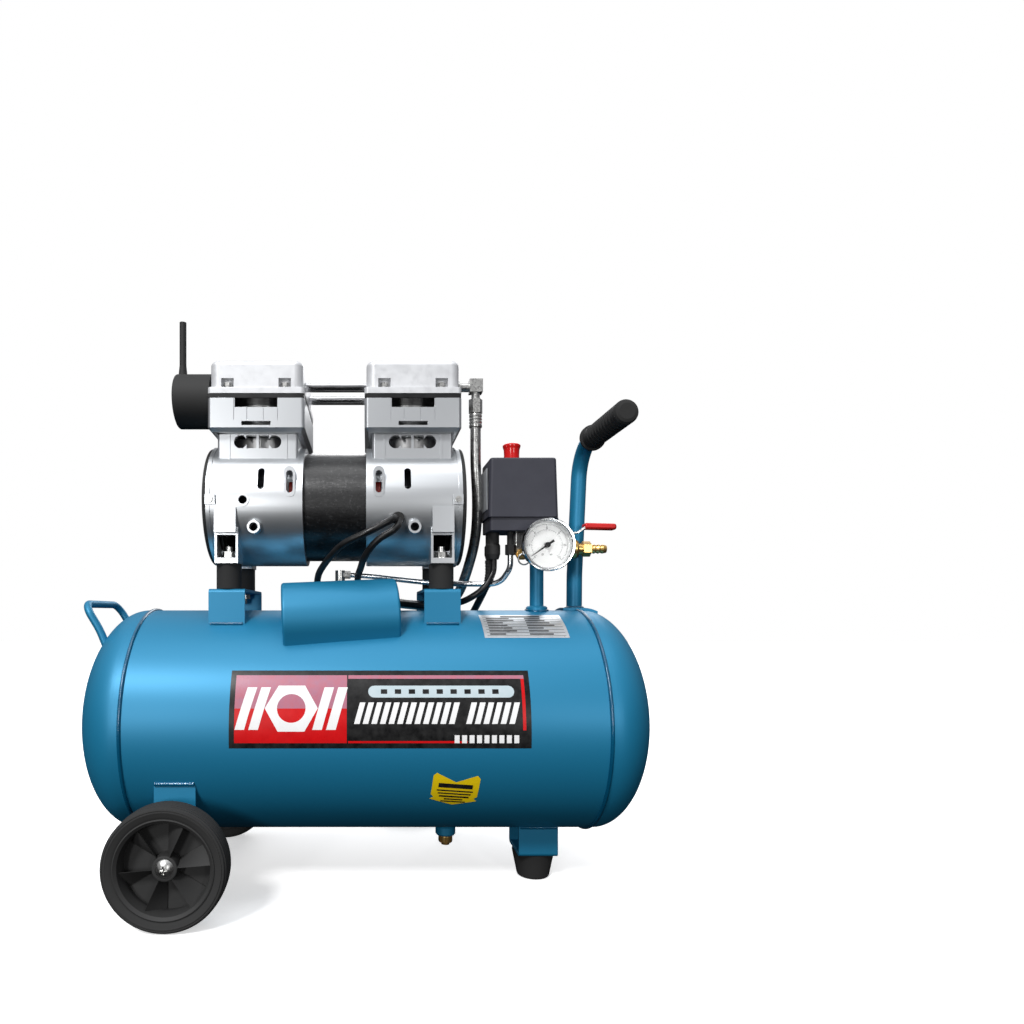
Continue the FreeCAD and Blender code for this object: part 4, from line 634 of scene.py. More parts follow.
@dataclass
class Studio:
    """A pale floor, soft lights and the camera in front of the machine."""

    eye: Point = (0.0022, -0.7615, 0.2898)
    lens: float = 24.12
    shift: tuple[float, float] = (0.1406, 0.0986)
    floor_half: float = 6.0

    def build(self) -> None:
        """Places the camera, the floor and the lights."""
        self.camera()
        self.floor()
        self.sky()
        self.sun((-26.0, 42.0), 2.2, 12.0)
        self.softbox("left_window", (-0.85, -2.1, 0.47), (0.0, -0.1, 0.2), (0.22, 0.60), 12.0)
        self.softbox("right_window", (0.90, -2.1, 0.47), (0.0, -0.1, 0.2), (0.14, 0.50), 7.0)
        self.softbox("ceiling", (0.0, -0.5, 2.4), (0.0, 0.0, 0.3), (2.2, 0.8), 11.0)
        self.softbox("rim", (0.5, 1.9, 1.6), (0.0, 0.0, 0.4), (1.6, 1.0), 16.0)

    def camera(self) -> None:
        """A level camera that looks straight along +Y, shifted to frame the machine."""
        data = bpy.data.cameras.new("camera")
        data.lens = self.lens
        data.sensor_width = 36.0
        data.shift_x, data.shift_y = self.shift
        data.clip_start = 0.02
        camera = linked("camera", data)
        camera.location = self.eye
        camera.rotation_euler = (math.radians(90.0), 0.0, 0.0)
        bpy.context.scene.camera = camera
        bpy.context.scene.view_settings.view_transform = "Standard"

    def floor(self) -> None:
        """A wide matt floor that the glossy paint doesn't mirror."""
        work = bmesh.new()
        half = self.floor_half
        corners = [(-half, -half), (half, -half), (half, half), (-half, half)]
        work.faces.new([work.verts.new((x, y, -0.0003)) for x, y in corners])
        mesh = bpy.data.meshes.new("floor")
        work.to_mesh(mesh)
        work.free()
        floor = linked("floor", mesh)
        tree = Tree("floor_matt")
        tones = tree.blend(tree.noise(1.5, 2.0), (0.93, 0.93, 0.93), (0.95, 0.95, 0.95))
        tree.links.new(tones, tree.shader.inputs["Base Color"])
        tree.settle(Roughness=0.85, Specular_IOR_Level=0.1, Emission_Color=(1.0, 1.0, 1.0, 1.0),
                    Emission_Strength=0.50)
        mesh.materials.append(tree.material)
        floor.visible_glossy = False
        floor.visible_diffuse = False

    def sky(self) -> None:
        """A surround that is bright overhead and dark below, and looks white behind it all."""
        world = bpy.data.worlds.new("surround")
        bpy.context.scene.world = world
        world.use_nodes = True
        nodes, links = world.node_tree.nodes, world.node_tree.links
        split = nodes.new("ShaderNodeSeparateXYZ")
        links.new(nodes.new("ShaderNodeTexCoord").outputs["Generated"], split.inputs["Vector"])
        height = nodes.new("ShaderNodeMapRange")
        height.inputs["From Min"].default_value = -1.0
        links.new(split.outputs["Z"], height.inputs["Value"])
        ramp = nodes.new("ShaderNodeValToRGB")
        links.new(height.outputs["Result"], ramp.inputs["Fac"])
        first, last = ramp.color_ramp.elements
        first.position, first.color = 0.0, (0.005, 0.005, 0.006, 1.0)
        last.position, last.color = 1.0, (0.85, 0.87, 0.90, 1.0)
        for level, tone in ((0.42, 0.008), (0.53, 0.06), (0.70, 0.28)):
            ramp.color_ramp.elements.new(level).color = (tone, tone, tone * 1.04, 1.0)
        shown = nodes.new("ShaderNodeLightPath")
        mix = nodes.new("ShaderNodeMix")
        mix.data_type = "RGBA"
        links.new(shown.outputs["Is Camera Ray"], mix.inputs["Factor"])
        links.new(ramp.outputs["Color"], mix.inputs["A"])
        mix.inputs["B"].default_value = (1.0, 1.0, 1.0, 1.0)
        links.new(mix.outputs["Result"], nodes["Background"].inputs["Color"])

    def sun(self, turn: tuple[float, float], strength: float, spread: float) -> None:
        """A soft far light from the front.

        Args:
            turn: degrees round from the front, negative to the left, and degrees up.
            strength: its strength.
            spread: how wide it looks, in degrees.
        """
        data = bpy.data.lights.new("key", "SUN")
        data.energy = strength
        data.angle = math.radians(spread)
        around, up = (math.radians(angle) for angle in turn)
        place = Vector((math.sin(around) * math.cos(up), -math.cos(around) * math.cos(up), math.sin(up)))
        linked("key", data).rotation_euler = (-place).to_track_quat("-Z", "Y").to_euler()

    def softbox(self, name: str, place: Point, aim: Point, size: tuple[float, float], power: float) -> None:
        """An oblong area light aimed at a point."""
        data = bpy.data.lights.new(name, "AREA")
        data.shape = "RECTANGLE"
        data.size, data.size_y = size
        data.energy = power
        lamp = linked(name, data)
        lamp.location = place
        lamp.rotation_euler = (Vector(aim) - Vector(place)).to_track_quat("-Z", "Y").to_euler()


# ---------------------------------------------------------------- receiver


@dataclass
class Receiver:
    """The tank with its ends, seams, brackets, handles and printed labels."""

    lift: float = 0.12 * MM
    film: float = 0.10 * MM
    seam_inset: float = 7.0 * MM
    bracket_leg: float = 56.5 * MM
    bracket_width: float = 37.3 * MM
    bracket_places: tuple[float, float] = (-143.2 * MM, 78.8 * MM)
    axle_weld: float = 38.0 * MM
    handle_foot: tuple[float, float] = (235.5 * MM, 16.0 * MM)
    strip: float = 2.0 * MM
    radius: float = field(init=False)
    axis: float = field(init=False)
    half: float = field(init=False)

    def __post_init__(self) -> None:
        """Reads the tank's radius, axis height and barrel half length from its ends."""
        self.radius = (high("tank_end_left").y - low("tank_end_left").y) / 2
        self.axis = (high("tank_end_left").z + low("tank_end_left").z) / 2
        self.half = high("tank_shell").x

    def build(self) -> None:
        """Dresses the tank and adds what is welded or stuck on it."""
        for node in ("tank_shell", "tank_end_left", "tank_end_right", "carry_handle", "pull_handle",
                     "riser_pipe"):
            dressed(node, TANK_PAINT)
        for node in ("pump_brackets", "axle_brackets", "foot_bracket"):
            softened(node, TANK_PAINT, 0.7 * MM)
        softened("capacitor_cover", TANK_PAINT, 0.6 * MM)
        dressed("capacitor", BLACK_PLASTIC)
        dressed("handle_grip", BLACK_RUBBER)
        softened("rubber_foot", BLACK_RUBBER, 0.8 * MM)
        self.seams()
        self.bracket_welds()
        self.nameplate()
        self.hazard_label()
        self.rating_plate()

    def skin(self, along: float, arc: float, lift: float = 0.0) -> Vector:
        """A point on the barrel's front, from its place along the tank and its arc above the middle."""
        angle = arc / self.radius
        reach = self.radius + lift
        return Vector((along, -reach * math.cos(angle), self.axis + reach * math.sin(angle)))

    def seams(self) -> None:
        """The two round seams, and the long one at the back."""
        ring = [Axis.X.place(self.radius + 0.2 * MM, math.tau * step / 180, 0.0) for step in range(181)]
        for side, word in ((-1.0, "left"), (1.0, "right")):
            shift = Vector((side * (self.half - self.seam_inset), 0.0, self.axis))
            line = [spot + shift for spot in ring]
            weld(f"end_seam_{word}", [line], 2.0 * MM, 2.4 * MM)
        back = math.radians(38.0)
        reach = self.radius + 0.1 * MM
        ends = [Vector((x, reach * math.cos(back), self.axis - reach * math.sin(back)))
                for x in (-self.half + self.seam_inset, self.half - self.seam_inset)]
        weld("long_seam", [ends], 1.8 * MM, 2.2 * MM)

    def bracket_welds(self) -> None:
        """Beads where the pump brackets, axle plates, foot bracket, riser and handles meet the tank."""
        drop = math.sqrt(self.radius ** 2 - self.bracket_leg ** 2)
        width = self.bracket_width / 2 - 2.0 * MM
        lines = []
        for middle in self.bracket_places:
            for side in (-1.0, 1.0):
                lines.append([Vector((middle + end * width, side * (self.bracket_leg + 0.6 * MM),
                                      self.axis + drop + 0.6 * MM)) for end in (-1.0, 1.0)])
        weld("bracket_welds", lines, 1.9 * MM)
        plate = high("axle_brackets").y
        rise = math.sqrt(self.radius ** 2 - plate ** 2)
        middle = middle_of("axle_brackets").x
        level = self.axis - rise + 1.0 * MM
        lines = [[Vector((middle + end * self.axle_weld / 2, side * (plate + 0.4 * MM), level))
                  for end in (-1.0, 1.0)] for side in (-1.0, 1.0)]
        weld("axle_plate_welds", lines, 2.5 * MM, 2.4 * MM)
        foot_low, foot_high = low("foot_bracket"), high("foot_bracket")
        lines = []
        for side, reach in ((-1.0, -foot_low.y), (1.0, foot_high.y)):
            level = self.axis - math.sqrt(self.radius ** 2 - reach ** 2) - 0.8 * MM
            lines.append([Vector((x, side * (reach + 0.5 * MM), level))
                          for x in (foot_low.x + 1.5 * MM, foot_high.x - 1.5 * MM)])
        weld("foot_welds", lines, 1.9 * MM)
        riser = middle_of("riser_pipe")
        flange = (high("riser_pipe").x - low("riser_pipe").x) / 2
        self.saddle_ring("riser_weld", riser.x, riser.y, flange - 0.2 * MM, 1.6 * MM)
        self.saddle_ring("handle_weld", *self.handle_foot, 9.2 * MM, 1.9 * MM, 3.0 * MM)

    def saddle_ring(self, name: str, x: float, y: float, reach: float, bead: float,
                    stand: float = 0.0) -> None:
        """A round bead about an upright pipe, following the top of the tank."""
        line = []
        for step in range(61):
            angle = math.tau * step / 60
            across = y + reach * math.sin(angle)
            rise = math.sqrt((self.radius + stand) ** 2 - across ** 2)
            line.append(Vector((x + reach * math.cos(angle), across, self.axis + rise + 0.4 * MM)))
        weld(name, [line], bead, 1.6 * MM)

    def film_on(self, name: str, shapes: Iterable[Sequence[tuple[float, float]]], finish: Finish,
                layer: int = 0) -> None:
        """A thin printed film that follows the barrel.

        Args:
            name: the piece's name.
            shapes: outlines as pairs of place along the tank and arc above its middle, in metres.
            finish: the film's finish.
            layer: how many films lie under it.
        """
        work = bmesh.new()
        for outline in shapes:
            work.faces.new([work.verts.new((along, arc, 0.0)) for along, arc in outline])
        lowest = min(vertex.co.y for vertex in work.verts)
        highest = max(vertex.co.y for vertex in work.verts)
        cut = lowest + self.strip
        while cut < highest:
            bmesh.ops.bisect_plane(work, geom=[*work.verts, *work.edges, *work.faces],
                                   plane_co=(0.0, cut, 0.0), plane_no=(0.0, 1.0, 0.0))
            cut += self.strip
        base = self.lift + layer * self.film
        grown = bmesh.ops.extrude_face_region(work, geom=list(work.faces))
        top = {item for item in grown["geom"] if isinstance(item, bmesh.types.BMVert)}
        for vertex in work.verts:
            vertex.co = self.skin(vertex.co.x, vertex.co.y, base + (self.film if vertex in top else 0.0))
        made(name, work, finish, angle=40.0)

    def nameplate(self) -> None:
        """The big panel: a black frame, a red field with a plain nut outline, and plain bars."""
        left, right, bottom, top = -128.6 * MM, 155.8 * MM, -12.6 * MM, 62.0 * MM
        self.film_on("panel_border", [oblong(left, right, bottom, top)], INK_BLACK)
        split = left + 112.0 * MM
        middle = bottom + 0.5 * (top - bottom)
        edge = 5.0 * MM
        field_end = split - 1.2 * MM
        strip_foot = top - 8.6 * MM
        self.film_on("panel_red_field", [oblong(left + edge, field_end, bottom + edge, middle)], INK_RED, 1)
        self.film_on("panel_pink_field", [oblong(left + edge, field_end, middle, top - edge)], INK_PINK, 1)
        self.film_on("panel_pink_strip", [oblong(split, right - edge, strip_foot, top - edge)], INK_PINK, 1)
        corner = [oblong(split, right - 60.0 * MM, bottom + edge, bottom + 7.0 * MM),
                  oblong(right - 8.0 * MM, right - edge, bottom + 17.0 * MM, strip_foot)]
        self.film_on("panel_red_strip", corner, INK_RED, 1)
        centre = (left + 58.5 * MM, bottom + 37.5 * MM)
        self.film_on("panel_nut_mark", nut_ring(*centre, 25.0 * MM, 13.5 * MM), INK_WHITE, 2)
        slants = [slant(centre[0] + reach * MM, centre[1], 9.0 * MM, 40.0 * MM)
                  for reach in (-43.0, -30.0, 30.0, 43.0)]
        self.film_on("panel_slants", slants, INK_WHITE, 2)
        rounded = pill(split + 19.0 * MM, right - 15.0 * MM, top - 27.0 * MM, top - 15.5 * MM)
        self.film_on("panel_pill", [rounded], INK_PALE, 2)
        level = top - 21.25 * MM
        dots = [oblong(x - 3.0 * MM, x + 3.0 * MM, level - 2.2 * MM, level + 2.2 * MM)
                for x in (split + (34.0 + 13.2 * step) * MM for step in range(9))]
        self.film_on("panel_pill_marks", dots, INK_BLACK, 3)
        marks = [slant(split + (11.0 + 8.1 * step) * MM, bottom + 33.0 * MM, 5.2 * MM, 20.0 * MM)
                 for step in range(19) if step != 12]
        self.film_on("panel_slant_row", marks, INK_WHITE, 2)
        ticks = [oblong(x - 2.3 * MM, x + 2.3 * MM, bottom + 5.0 * MM, bottom + 12.5 * MM)
                 for x in (right - (70.0 - 7.0 * step) * MM for step in range(9))]
        self.film_on("panel_tick_row", ticks, INK_WHITE, 2)

    def hazard_label(self) -> None:
        """A small yellow shield with a notched top and plain black bars."""
        tilt = math.radians(-5.0)
        middle, level = 85.5 * MM, -57.5 * MM

        def tipped(corners: Iterable[tuple[float, float]]) -> list[tuple[float, float]]:
            """The corners, in millimetres from the label's middle, on the tilted label."""
            return [(middle + (x * math.cos(tilt) - y * math.sin(tilt)) * MM,
                     level + (x * math.sin(tilt) + y * math.cos(tilt)) * MM) for x, y in corners]

        shield = [(-23.0, -13.0), (0.0, -20.0), (23.0, -13.0), (19.5, -10.0), (22.5, -7.0), (22.5, 15.5),
                  (19.5, 18.5), (0.0, 9.5), (-19.5, 18.5), (-22.5, 15.5), (-22.5, -7.0), (-19.5, -10.0)]
        self.film_on("hazard_shield", [tipped(shield)], STICKER_YELLOW)
        rows = ((5.0, 5.0, 16.5), (-1.0, 1.6, 17.5), (-4.6, 1.6, 16.0), (-8.4, 2.0, 14.5), (-12.0, 1.6, 9.0),
                (-15.2, 1.6, 12.0))
        bars = [tipped([(-reach, rise - tall / 2), (reach, rise - tall / 2), (reach, rise + tall / 2),
                        (-reach, rise + tall / 2)]) for rise, tall, reach in rows]
        self.film_on("hazard_bars", bars, INK_BLACK, 1)

    def rating_plate(self) -> None:
        """A foil plate high on the front with plain ruled lines."""
        left, right, bottom, top = 119.0 * MM, 204.0 * MM, 102.0 * MM, 149.0 * MM
        self.film_on("rating_plate", [oblong(left, right, bottom, top)], FOIL)
        rows = 8
        pitch = (top - bottom - 6.0 * MM) / rows
        lines = []
        for row in range(rows + 1):
            level = bottom + 3.0 * MM + row * pitch
            lines.append(oblong(left + 3.0 * MM, right - 3.0 * MM, level - 0.2 * MM, level + 0.2 * MM))
        self.film_on("rating_lines", lines, INK_BLACK, 1)
        bars = []
        for row in range(rows - 1):
            level = bottom + 3.0 * MM + (row + 0.5) * pitch
            for column, start in enumerate((left + 6.0 * MM, left + 46.0 * MM)):
                span = (20.0 + 5.0 * ((row * 3 + column * 2) % 4)) * MM * 0.8
                bars.append(oblong(start, start + span, level - 0.9 * MM, level + 0.9 * MM))
        bars.append(oblong(left + 22.0 * MM, right - 22.0 * MM, top - 3.0 * MM - 0.75 * pitch,
                           top - 3.0 * MM - 0.25 * pitch))
        self.film_on("rating_bars", bars, INK_BLACK, 2)


def oblong(left: float, right: float, bottom: float, top: float) -> list[tuple[float, float]]:
    """An oblong's four corners."""
    return [(left, bottom), (right, bottom), (right, top), (left, top)]


def slant(x: float, y: float, width: float, height: float) -> list[tuple[float, float]]:
    """A bar that leans to the right, about its middle."""
    lean = 0.14 * height
    return [(x - width / 2 - lean, y - height / 2), (x + width / 2 - lean, y - height / 2),
            (x + width / 2 + lean, y + height / 2), (x - width / 2 + lean, y + height / 2)]


def pill(left: float, right: float, bottom: float, top: float) -> list[tuple[float, float]]:
    """An oblong with round ends."""
    reach = (top - bottom) / 2
    level = (top + bottom) / 2
    turns = [math.radians(-90.0 + 15.0 * step) for step in range(13)]
    right_end = [(right - reach + reach * math.cos(turn), level + reach * math.sin(turn)) for turn in turns]
    left_end = [(left + reach - reach * math.cos(turn), level - reach * math.sin(turn)) for turn in turns]
    return right_end + left_end


def nut_ring(x: float, y: float, outer: float, inner: float) -> list[list[tuple[float, float]]]:
    """A hexagon with a round hole, in six outlines."""
    shapes = []
    for side in range(6):
        start, end = math.radians(60.0 * side), math.radians(60.0 * (side + 1))
        corners = [(x + outer * math.cos(start), y + outer * math.sin(start)),
                   (x + outer * math.cos(end), y + outer * math.sin(end))]
        for step in range(6, -1, -1):
            turn = start + (end - start) * step / 6
            corners.append((x + inner * math.cos(turn), y + inner * math.sin(turn)))
        shapes.append(corners)
    return shapes


# ---------------------------------------------------------------- pump


@dataclass
class Pump:
    """The twin-head motor pump."""

    edge: float = 0.8 * MM

    def build(self) -> None:
        """Dresses the castings, the stator and everything inside."""
        for node in ("end_bell_left", "end_bell_right"):
            softened(node, CAST_ALLOY, 0.6 * MM)
        softened("cylinders", CAST_ALLOY, self.edge)
        for node in ("cylinder_head_left", "cylinder_head_right"):
            softened(node, BRIGHT_ALLOY, self.edge)
        softened("valve_plates", BLACK_METAL, 0.4 * MM)
        softened("rubber_mounts", BLACK_RUBBER, 0.8 * MM)
        dressed("stator_core", LAMINATIONS)
        dressed("windings", COPPER)
        dressed("end_covers", BLACK_PLASTIC)
        dressed("cooling_fans", BLACK_PLASTIC)
        softened("pump_fasteners", ZINC, 0.35 * MM)
        softened("chassis_bolts", ZINC, 0.35 * MM)
        for node in ("cylinder_sleeves", "shaft_bearings", "rotor"):
            dressed(node, GROUND_STEEL)
        for node in ("piston_left", "piston_right"):
            dressed(node, CAST_ALLOY)


# ---------------------------------------------------------------- pipework


@dataclass
class Pipework:
    """Air pipes between the heads, the tank and the switch."""

    hose_route: tuple[Point, ...] = (
        (118.1, -22.0, 504.0), (118.1, -22.0, 472.0), (118.1, -22.0, 448.0), (121.1, -17.0, 410.0),
        (121.1, -5.0, 371.0), (114.1, 12.0, 337.0), (105.1, 27.0, 307.7), (87.1, 33.0, 297.2),
        (45.0, 31.0, 299.7), (18.0, 30.0, 304.7), (-12.0, 30.0, 304.7))
    hose_radius: float = 5.2 * MM
    braid_height: float = 0.45 * MM
    braid_pitch: float = 17.0 * MM
    strands: int = 8

    def build(self) -> None:
        """Dresses the rigid pipes and braids the hose."""
        softened("crossover_tubes", POLISHED, 0.3 * MM)
        softened("discharge_elbow", ZINC, 0.4 * MM)
        dressed("check_valve", ZINC)
        dressed("unloader_tube", DRAWN_ALLOY)
        softened("intake_muffler", BLACK_PLASTIC, 0.6 * MM)
        self.hose()

    def braid(self, along: float, angle: float) -> float:
        """The braided hose's radius, where two sets of strands cross over and under."""
        turn = math.tau * along / self.braid_pitch
        one = abs(math.sin(self.strands / 2 * (angle + turn)))
        other = abs(math.sin(self.strands / 2 * (angle - turn)))
        return self.hose_radius + self.braid_height * max(one, other) ** 2

    def hose(self) -> None:
        """The braided discharge hose with a crimped ferrule at each end."""
        route = [Vector(point) * MM for point in self.hose_route]
        line = centreline(route, 0.55 * MM)
        work = bmesh.new()
        tube(work, line, self.braid, 32)
        hose = made("discharge_hose_braid", work, BRAID, angle=70.0)
        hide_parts("discharge_hose")
        work = bmesh.new()
        start, end = line[0], line[-1]
        for spot, heading in ((start, line[8] - line[0]), (end, line[-9] - line[-1])):
            sleeve(work, spot, heading.normalized(), 6.9 * MM, 15.0 * MM)
        made("hose_ferrules", work, ZINC)


def sleeve(work: bmesh.types.BMesh, start: Vector, heading: Vector, radius: float, length: float) -> None:
    """A crimped sleeve from a point along a heading, with three rolled grooves."""
    profile = [(0.82, 0.0), (0.96, 0.03), (1.0, 0.07)]
    for groove in (0.28, 0.5, 0.72):
        profile += [(1.0, groove - 0.07), (0.93, groove - 0.03), (0.93, groove + 0.03), (1.0, groove + 0.07)]
    profile += [(1.0, 0.94), (0.95, 0.98), (0.72, 1.0)]
    turn = heading.to_track_quat("Z", "Y").to_matrix()
    rings = []
    for reach, along in [(0.0, 0.0), *profile, (0.0, 1.0)]:
        count = 1 if reach == 0.0 else 40
        rings.append([work.verts.new(start + turn @ Axis.Z.place(reach * radius, math.tau * step / 40,
                                                               along * length)) for step in range(count)])
    bridged(work, rings)


# ---------------------------------------------------------------- controls


@dataclass
class Controls:
    """The pressure switch, gauge, outlet valve and safety valve."""

    scale_start: float = 225.0
    scale_sweep: float = 270.0
    divisions: int = 60
    pivot_x: float = 0.0

    def build(self) -> None:
        """Dresses the controls and prints the dial."""
        self.pivot_x = joint_place("outlet_lever_turn").x
        softened("switch_cover", SLATE_PLASTIC, 1.4 * MM, 3, 0.05)
        softened("switch_base", SLATE_PLASTIC, 0.8 * MM)
        softened("switch_glands", BLACK_PLASTIC, 0.4 * MM)
        softened("manifold_block", ZINC, 0.6 * MM)
        softened("safety_valve", BRASS, 0.3 * MM)
        dressed("safety_ring", ZINC)
        dressed("outlet_valve", BRASS)
        dressed("gauge_case", CHROME)
        dressed("gauge_dial", DIAL_WHITE)
        dressed("gauge_needle", INK_BLACK)
        dressed("gauge_lens", LENS)
        dressed("drain_screw", BRASS)
        self.dial()
        self.switch_details()
        self.knob()
        self.lever()

    def dial(self) -> None:
        """Two arcs of marks, the numbers between them, and two small screws."""
        centre = middle_of("gauge_dial")
        face = low("gauge_dial").y
        reach = (high("gauge_dial").x - low("gauge_dial").x) / 2
        work = bmesh.new()
        for step in range(self.divisions + 1):
            angle = math.radians(self.scale_start - self.scale_sweep * step / self.divisions)
            long = step % 10 == 0
            inner = reach * (0.80 if long else 0.86)
            bar(work, centre, face, angle, inner, reach * 0.91, 0.16 * MM if long else 0.08 * MM)
            if step % 2 == 0:
                inner = reach * (0.60 if long else 0.63)
                bar(work, centre, face, angle, inner, reach * 0.67, 0.10 * MM)
        for radius in (0.91, 0.67):
            for step in range(90):
                start = math.radians(self.scale_start - self.scale_sweep * step / 90)
                end = math.radians(self.scale_start - self.scale_sweep * (step + 1) / 90)
                patch(work, centre, face, start, end, reach * radius, reach * radius + 0.14 * MM)
        made("dial_marks", work, INK_BLACK)
        for step in range(7):
            angle = math.radians(self.scale_start - self.scale_sweep * step / 6)
            place = Vector((centre.x + reach * 0.745 * math.cos(angle), face,
                            centre.z + reach * 0.745 * math.sin(angle)))
            figure(f"dial_number_{step}", str(2 * step), place, 3.3 * MM)
        for side in (-1.0, 1.0):
            spot = (centre.x + side * 4.4 * MM, face, centre.z - 9.6 * MM)
            turned(f"dial_screw_{'left' if side < 0 else 'right'}", Axis.Y, spot,
                   [(0.0, -0.5 * MM), (0.7 * MM, -0.5 * MM), (1.2 * MM, -0.2 * MM), (1.3 * MM, 0.1 * MM)],
                   ZINC, count=24)

    def knob(self) -> None:
        """The pull-up knob: a smooth barrel that flares to a rounded lip."""
        start, end = low("switch_knob"), high("switch_knob")
        centre = ((start.x + end.x) / 2, (start.y + end.y) / 2, start.z)
        top = (end.z - start.z) / MM
        profile = [(0.0, 0.3), (6.0, 0.3), (6.0, 6.2), (7.9, 6.6), (8.3, 7.2), (8.2, 12.0), (8.5, top - 7.4),
                   (9.2, top - 5.4), (9.6, top - 4.0), (9.6, top - 2.6), (9.2, top - 2.0), (8.4, top - 1.6),
                   (6.0, top - 0.4), (0.0, top)]
        knob = turned("switch_knob_flared", Axis.Z, centre, [(r * MM, z * MM) for r, z in profile],
                      RED_PLASTIC, "knob")
        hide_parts("switch_knob")

    def lever(self) -> None:
        """The outlet valve's ball, spindle and nut, its bent steel arm, and the dipped vinyl grip."""
        pivot = Vector((self.pivot_x, middle_of("valve_lever").y, middle_of("outlet_valve").z))
        arm_level = high("valve_lever").z - 10.5 * MM
        tip = high("valve_lever").x
        work = bmesh.new()
        spindle = [(0.0, -7.9), (5.6, -5.6), (7.9, 0.0), (5.6, 5.6), (2.5, 7.4), (2.5, 19.5), (0.0, 20.0)]
        lathe(work, Axis.Z, pivot, [(r * MM, z * MM) for r, z in spindle], 32)
        made("valve_ball_and_spindle", work, ZINC, "lever")
        work = bmesh.new()
        bmesh.ops.create_cone(work, cap_ends=True, segments=6, radius1=4.6 * MM, radius2=4.4 * MM,
                              depth=3.2 * MM,
                              matrix=Matrix.Translation((pivot.x, pivot.y, arm_level + 2.4 * MM)))
        made("lever_nut", work, ZINC, "lever")
        route = [(pivot.x - 8.0 * MM, 0.0), (pivot.x + 9.5 * MM, 0.0), (pivot.x + 16.5 * MM, 5.6 * MM),
                 (pivot.x + 22.0 * MM, 6.8 * MM), (tip - 4.0 * MM, 6.8 * MM)]
        work = bmesh.new()
        strap(work, [Vector((x, pivot.y, arm_level + rise)) for x, rise in route], 5.4 * MM, 1.0 * MM)
        arm = made("lever_arm", work, ZINC, "lever")
        work = bmesh.new()
        block(work, (pivot.x + 16.3 * MM, pivot.y - 6.6 * MM, arm_level + 3.6 * MM),
              (tip, pivot.y + 6.6 * MM, arm_level + 10.4 * MM))
        bmesh.ops.bevel(work, geom=work.edges, offset=2.6 * MM, segments=5, profile=0.5, affect="EDGES")
        for vertex in work.verts:
            share = (vertex.co.x - pivot.x) / (tip - pivot.x)
            vertex.co.z += 0.9 * MM * math.sin(math.pi * share) - 0.5 * MM
        made("lever_grip", work, RED_VINYL, "lever")
        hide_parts("valve_lever")

    def switch_details(self) -> None:
        """The plain silver label on the cover's left side."""
        start, end = low("switch_cover"), high("switch_cover")
        work = bmesh.new()
        block(work, (start.x - 0.5 * MM, start.y + 9.0 * MM, start.z + 9.0 * MM),
              (start.x + 0.3 * MM, end.y - 9.0 * MM, end.z - 10.0 * MM))
        made("switch_label", work, FOIL)


def strap(work: bmesh.types.BMesh, line: Sequence[Vector], half: float, thick: float) -> None:
    """A flat strip of metal along a line in the XZ plane, half wide each side in Y."""
    rings = []
    for index, spot in enumerate(line):
        heading = (line[min(index + 1, len(line) - 1)] - line[max(index - 1, 0)]).normalized()
        up = Vector((-heading.z, 0.0, heading.x))
        rings.append([work.verts.new(spot + Vector((0.0, side * half, 0.0)) + up * (lift * thick))
                      for side, lift in ((-1.0, -1.0), (1.0, -1.0), (1.0, 1.0), (-1.0, 1.0))])
    bridged(work, rings)
    work.faces.new(rings[0])
    work.faces.new(rings[-1])
    bmesh.ops.bevel(work, geom=work.edges, offset=0.4 * MM, segments=2, profile=0.5, affect="EDGES")


def block(work: bmesh.types.BMesh, start: Point, end: Point) -> None:
    """A plain block between two corners."""
    middle = (Vector(start) + Vector(end)) / 2
    spans = [abs(second - first) for first, second in zip(start, end)]
    bmesh.ops.create_cube(work, size=1.0, matrix=Matrix.Translation(middle) @ Matrix.Diagonal((*spans, 1.0)))


def bar(work: bmesh.types.BMesh, centre: Vector, face: float, angle: float, inner: float, outer: float,
        half: float) -> None:
    """A printed mark on the dial, from one radius to another."""
    along = Vector((math.cos(angle), 0.0, math.sin(angle)))
    across = Vector((-math.sin(angle), 0.0, math.cos(angle)))
    middle = Vector((centre.x, face - 0.08 * MM, centre.z))
    work.faces.new([work.verts.new(middle + along * radius + across * side) for radius, side in
                    ((inner, -half), (outer, -half), (outer, half), (inner, half))])


def patch(work: bmesh.types.BMesh, centre: Vector, face: float, start: float, end: float, inner: float,
          outer: float) -> None:
    """A short piece of a printed arc on the dial."""
    middle = Vector((centre.x, face - 0.08 * MM, centre.z))
    work.faces.new([work.verts.new(middle + Vector((radius * math.cos(angle), 0.0, radius * math.sin(angle))))
                    for radius, angle in ((inner, start), (outer, start), (outer, end), (inner, end))])


def figure(name: str, text: str, place: Vector, height: float) -> None:
    """A printed number that faces the front, centred on a point.

    Args:
        name: the piece's name.
        text: the number.
        place: the middle of the number, on the surface that it is printed on.
        height: its height in metres.
    """
    data = bpy.data.curves.new(name, "FONT")
    data.body = text
    data.size = height
    data.align_x = "CENTER"
    data.align_y = "CENTER"
    data.extrude = 0.03 * MM
    mesh = mesh_from(linked(name, data))
    mesh.transform(Matrix.Translation(place + Vector((0.0, -0.06 * MM, 0.0)))
                   @ Matrix.Rotation(math.radians(90.0), 4, "X"))
    work = bmesh.new()
    work.from_mesh(mesh)
    bpy.data.meshes.remove(mesh)
    made(name, work, INK_BLACK)


# ---------------------------------------------------------------- rolling gear


class Side(Enum):
    """The two wheels, by the word in their names and the sign of Y on their outer face."""

    FRONT = ("front", -1.0)
    BACK = ("back", 1.0)


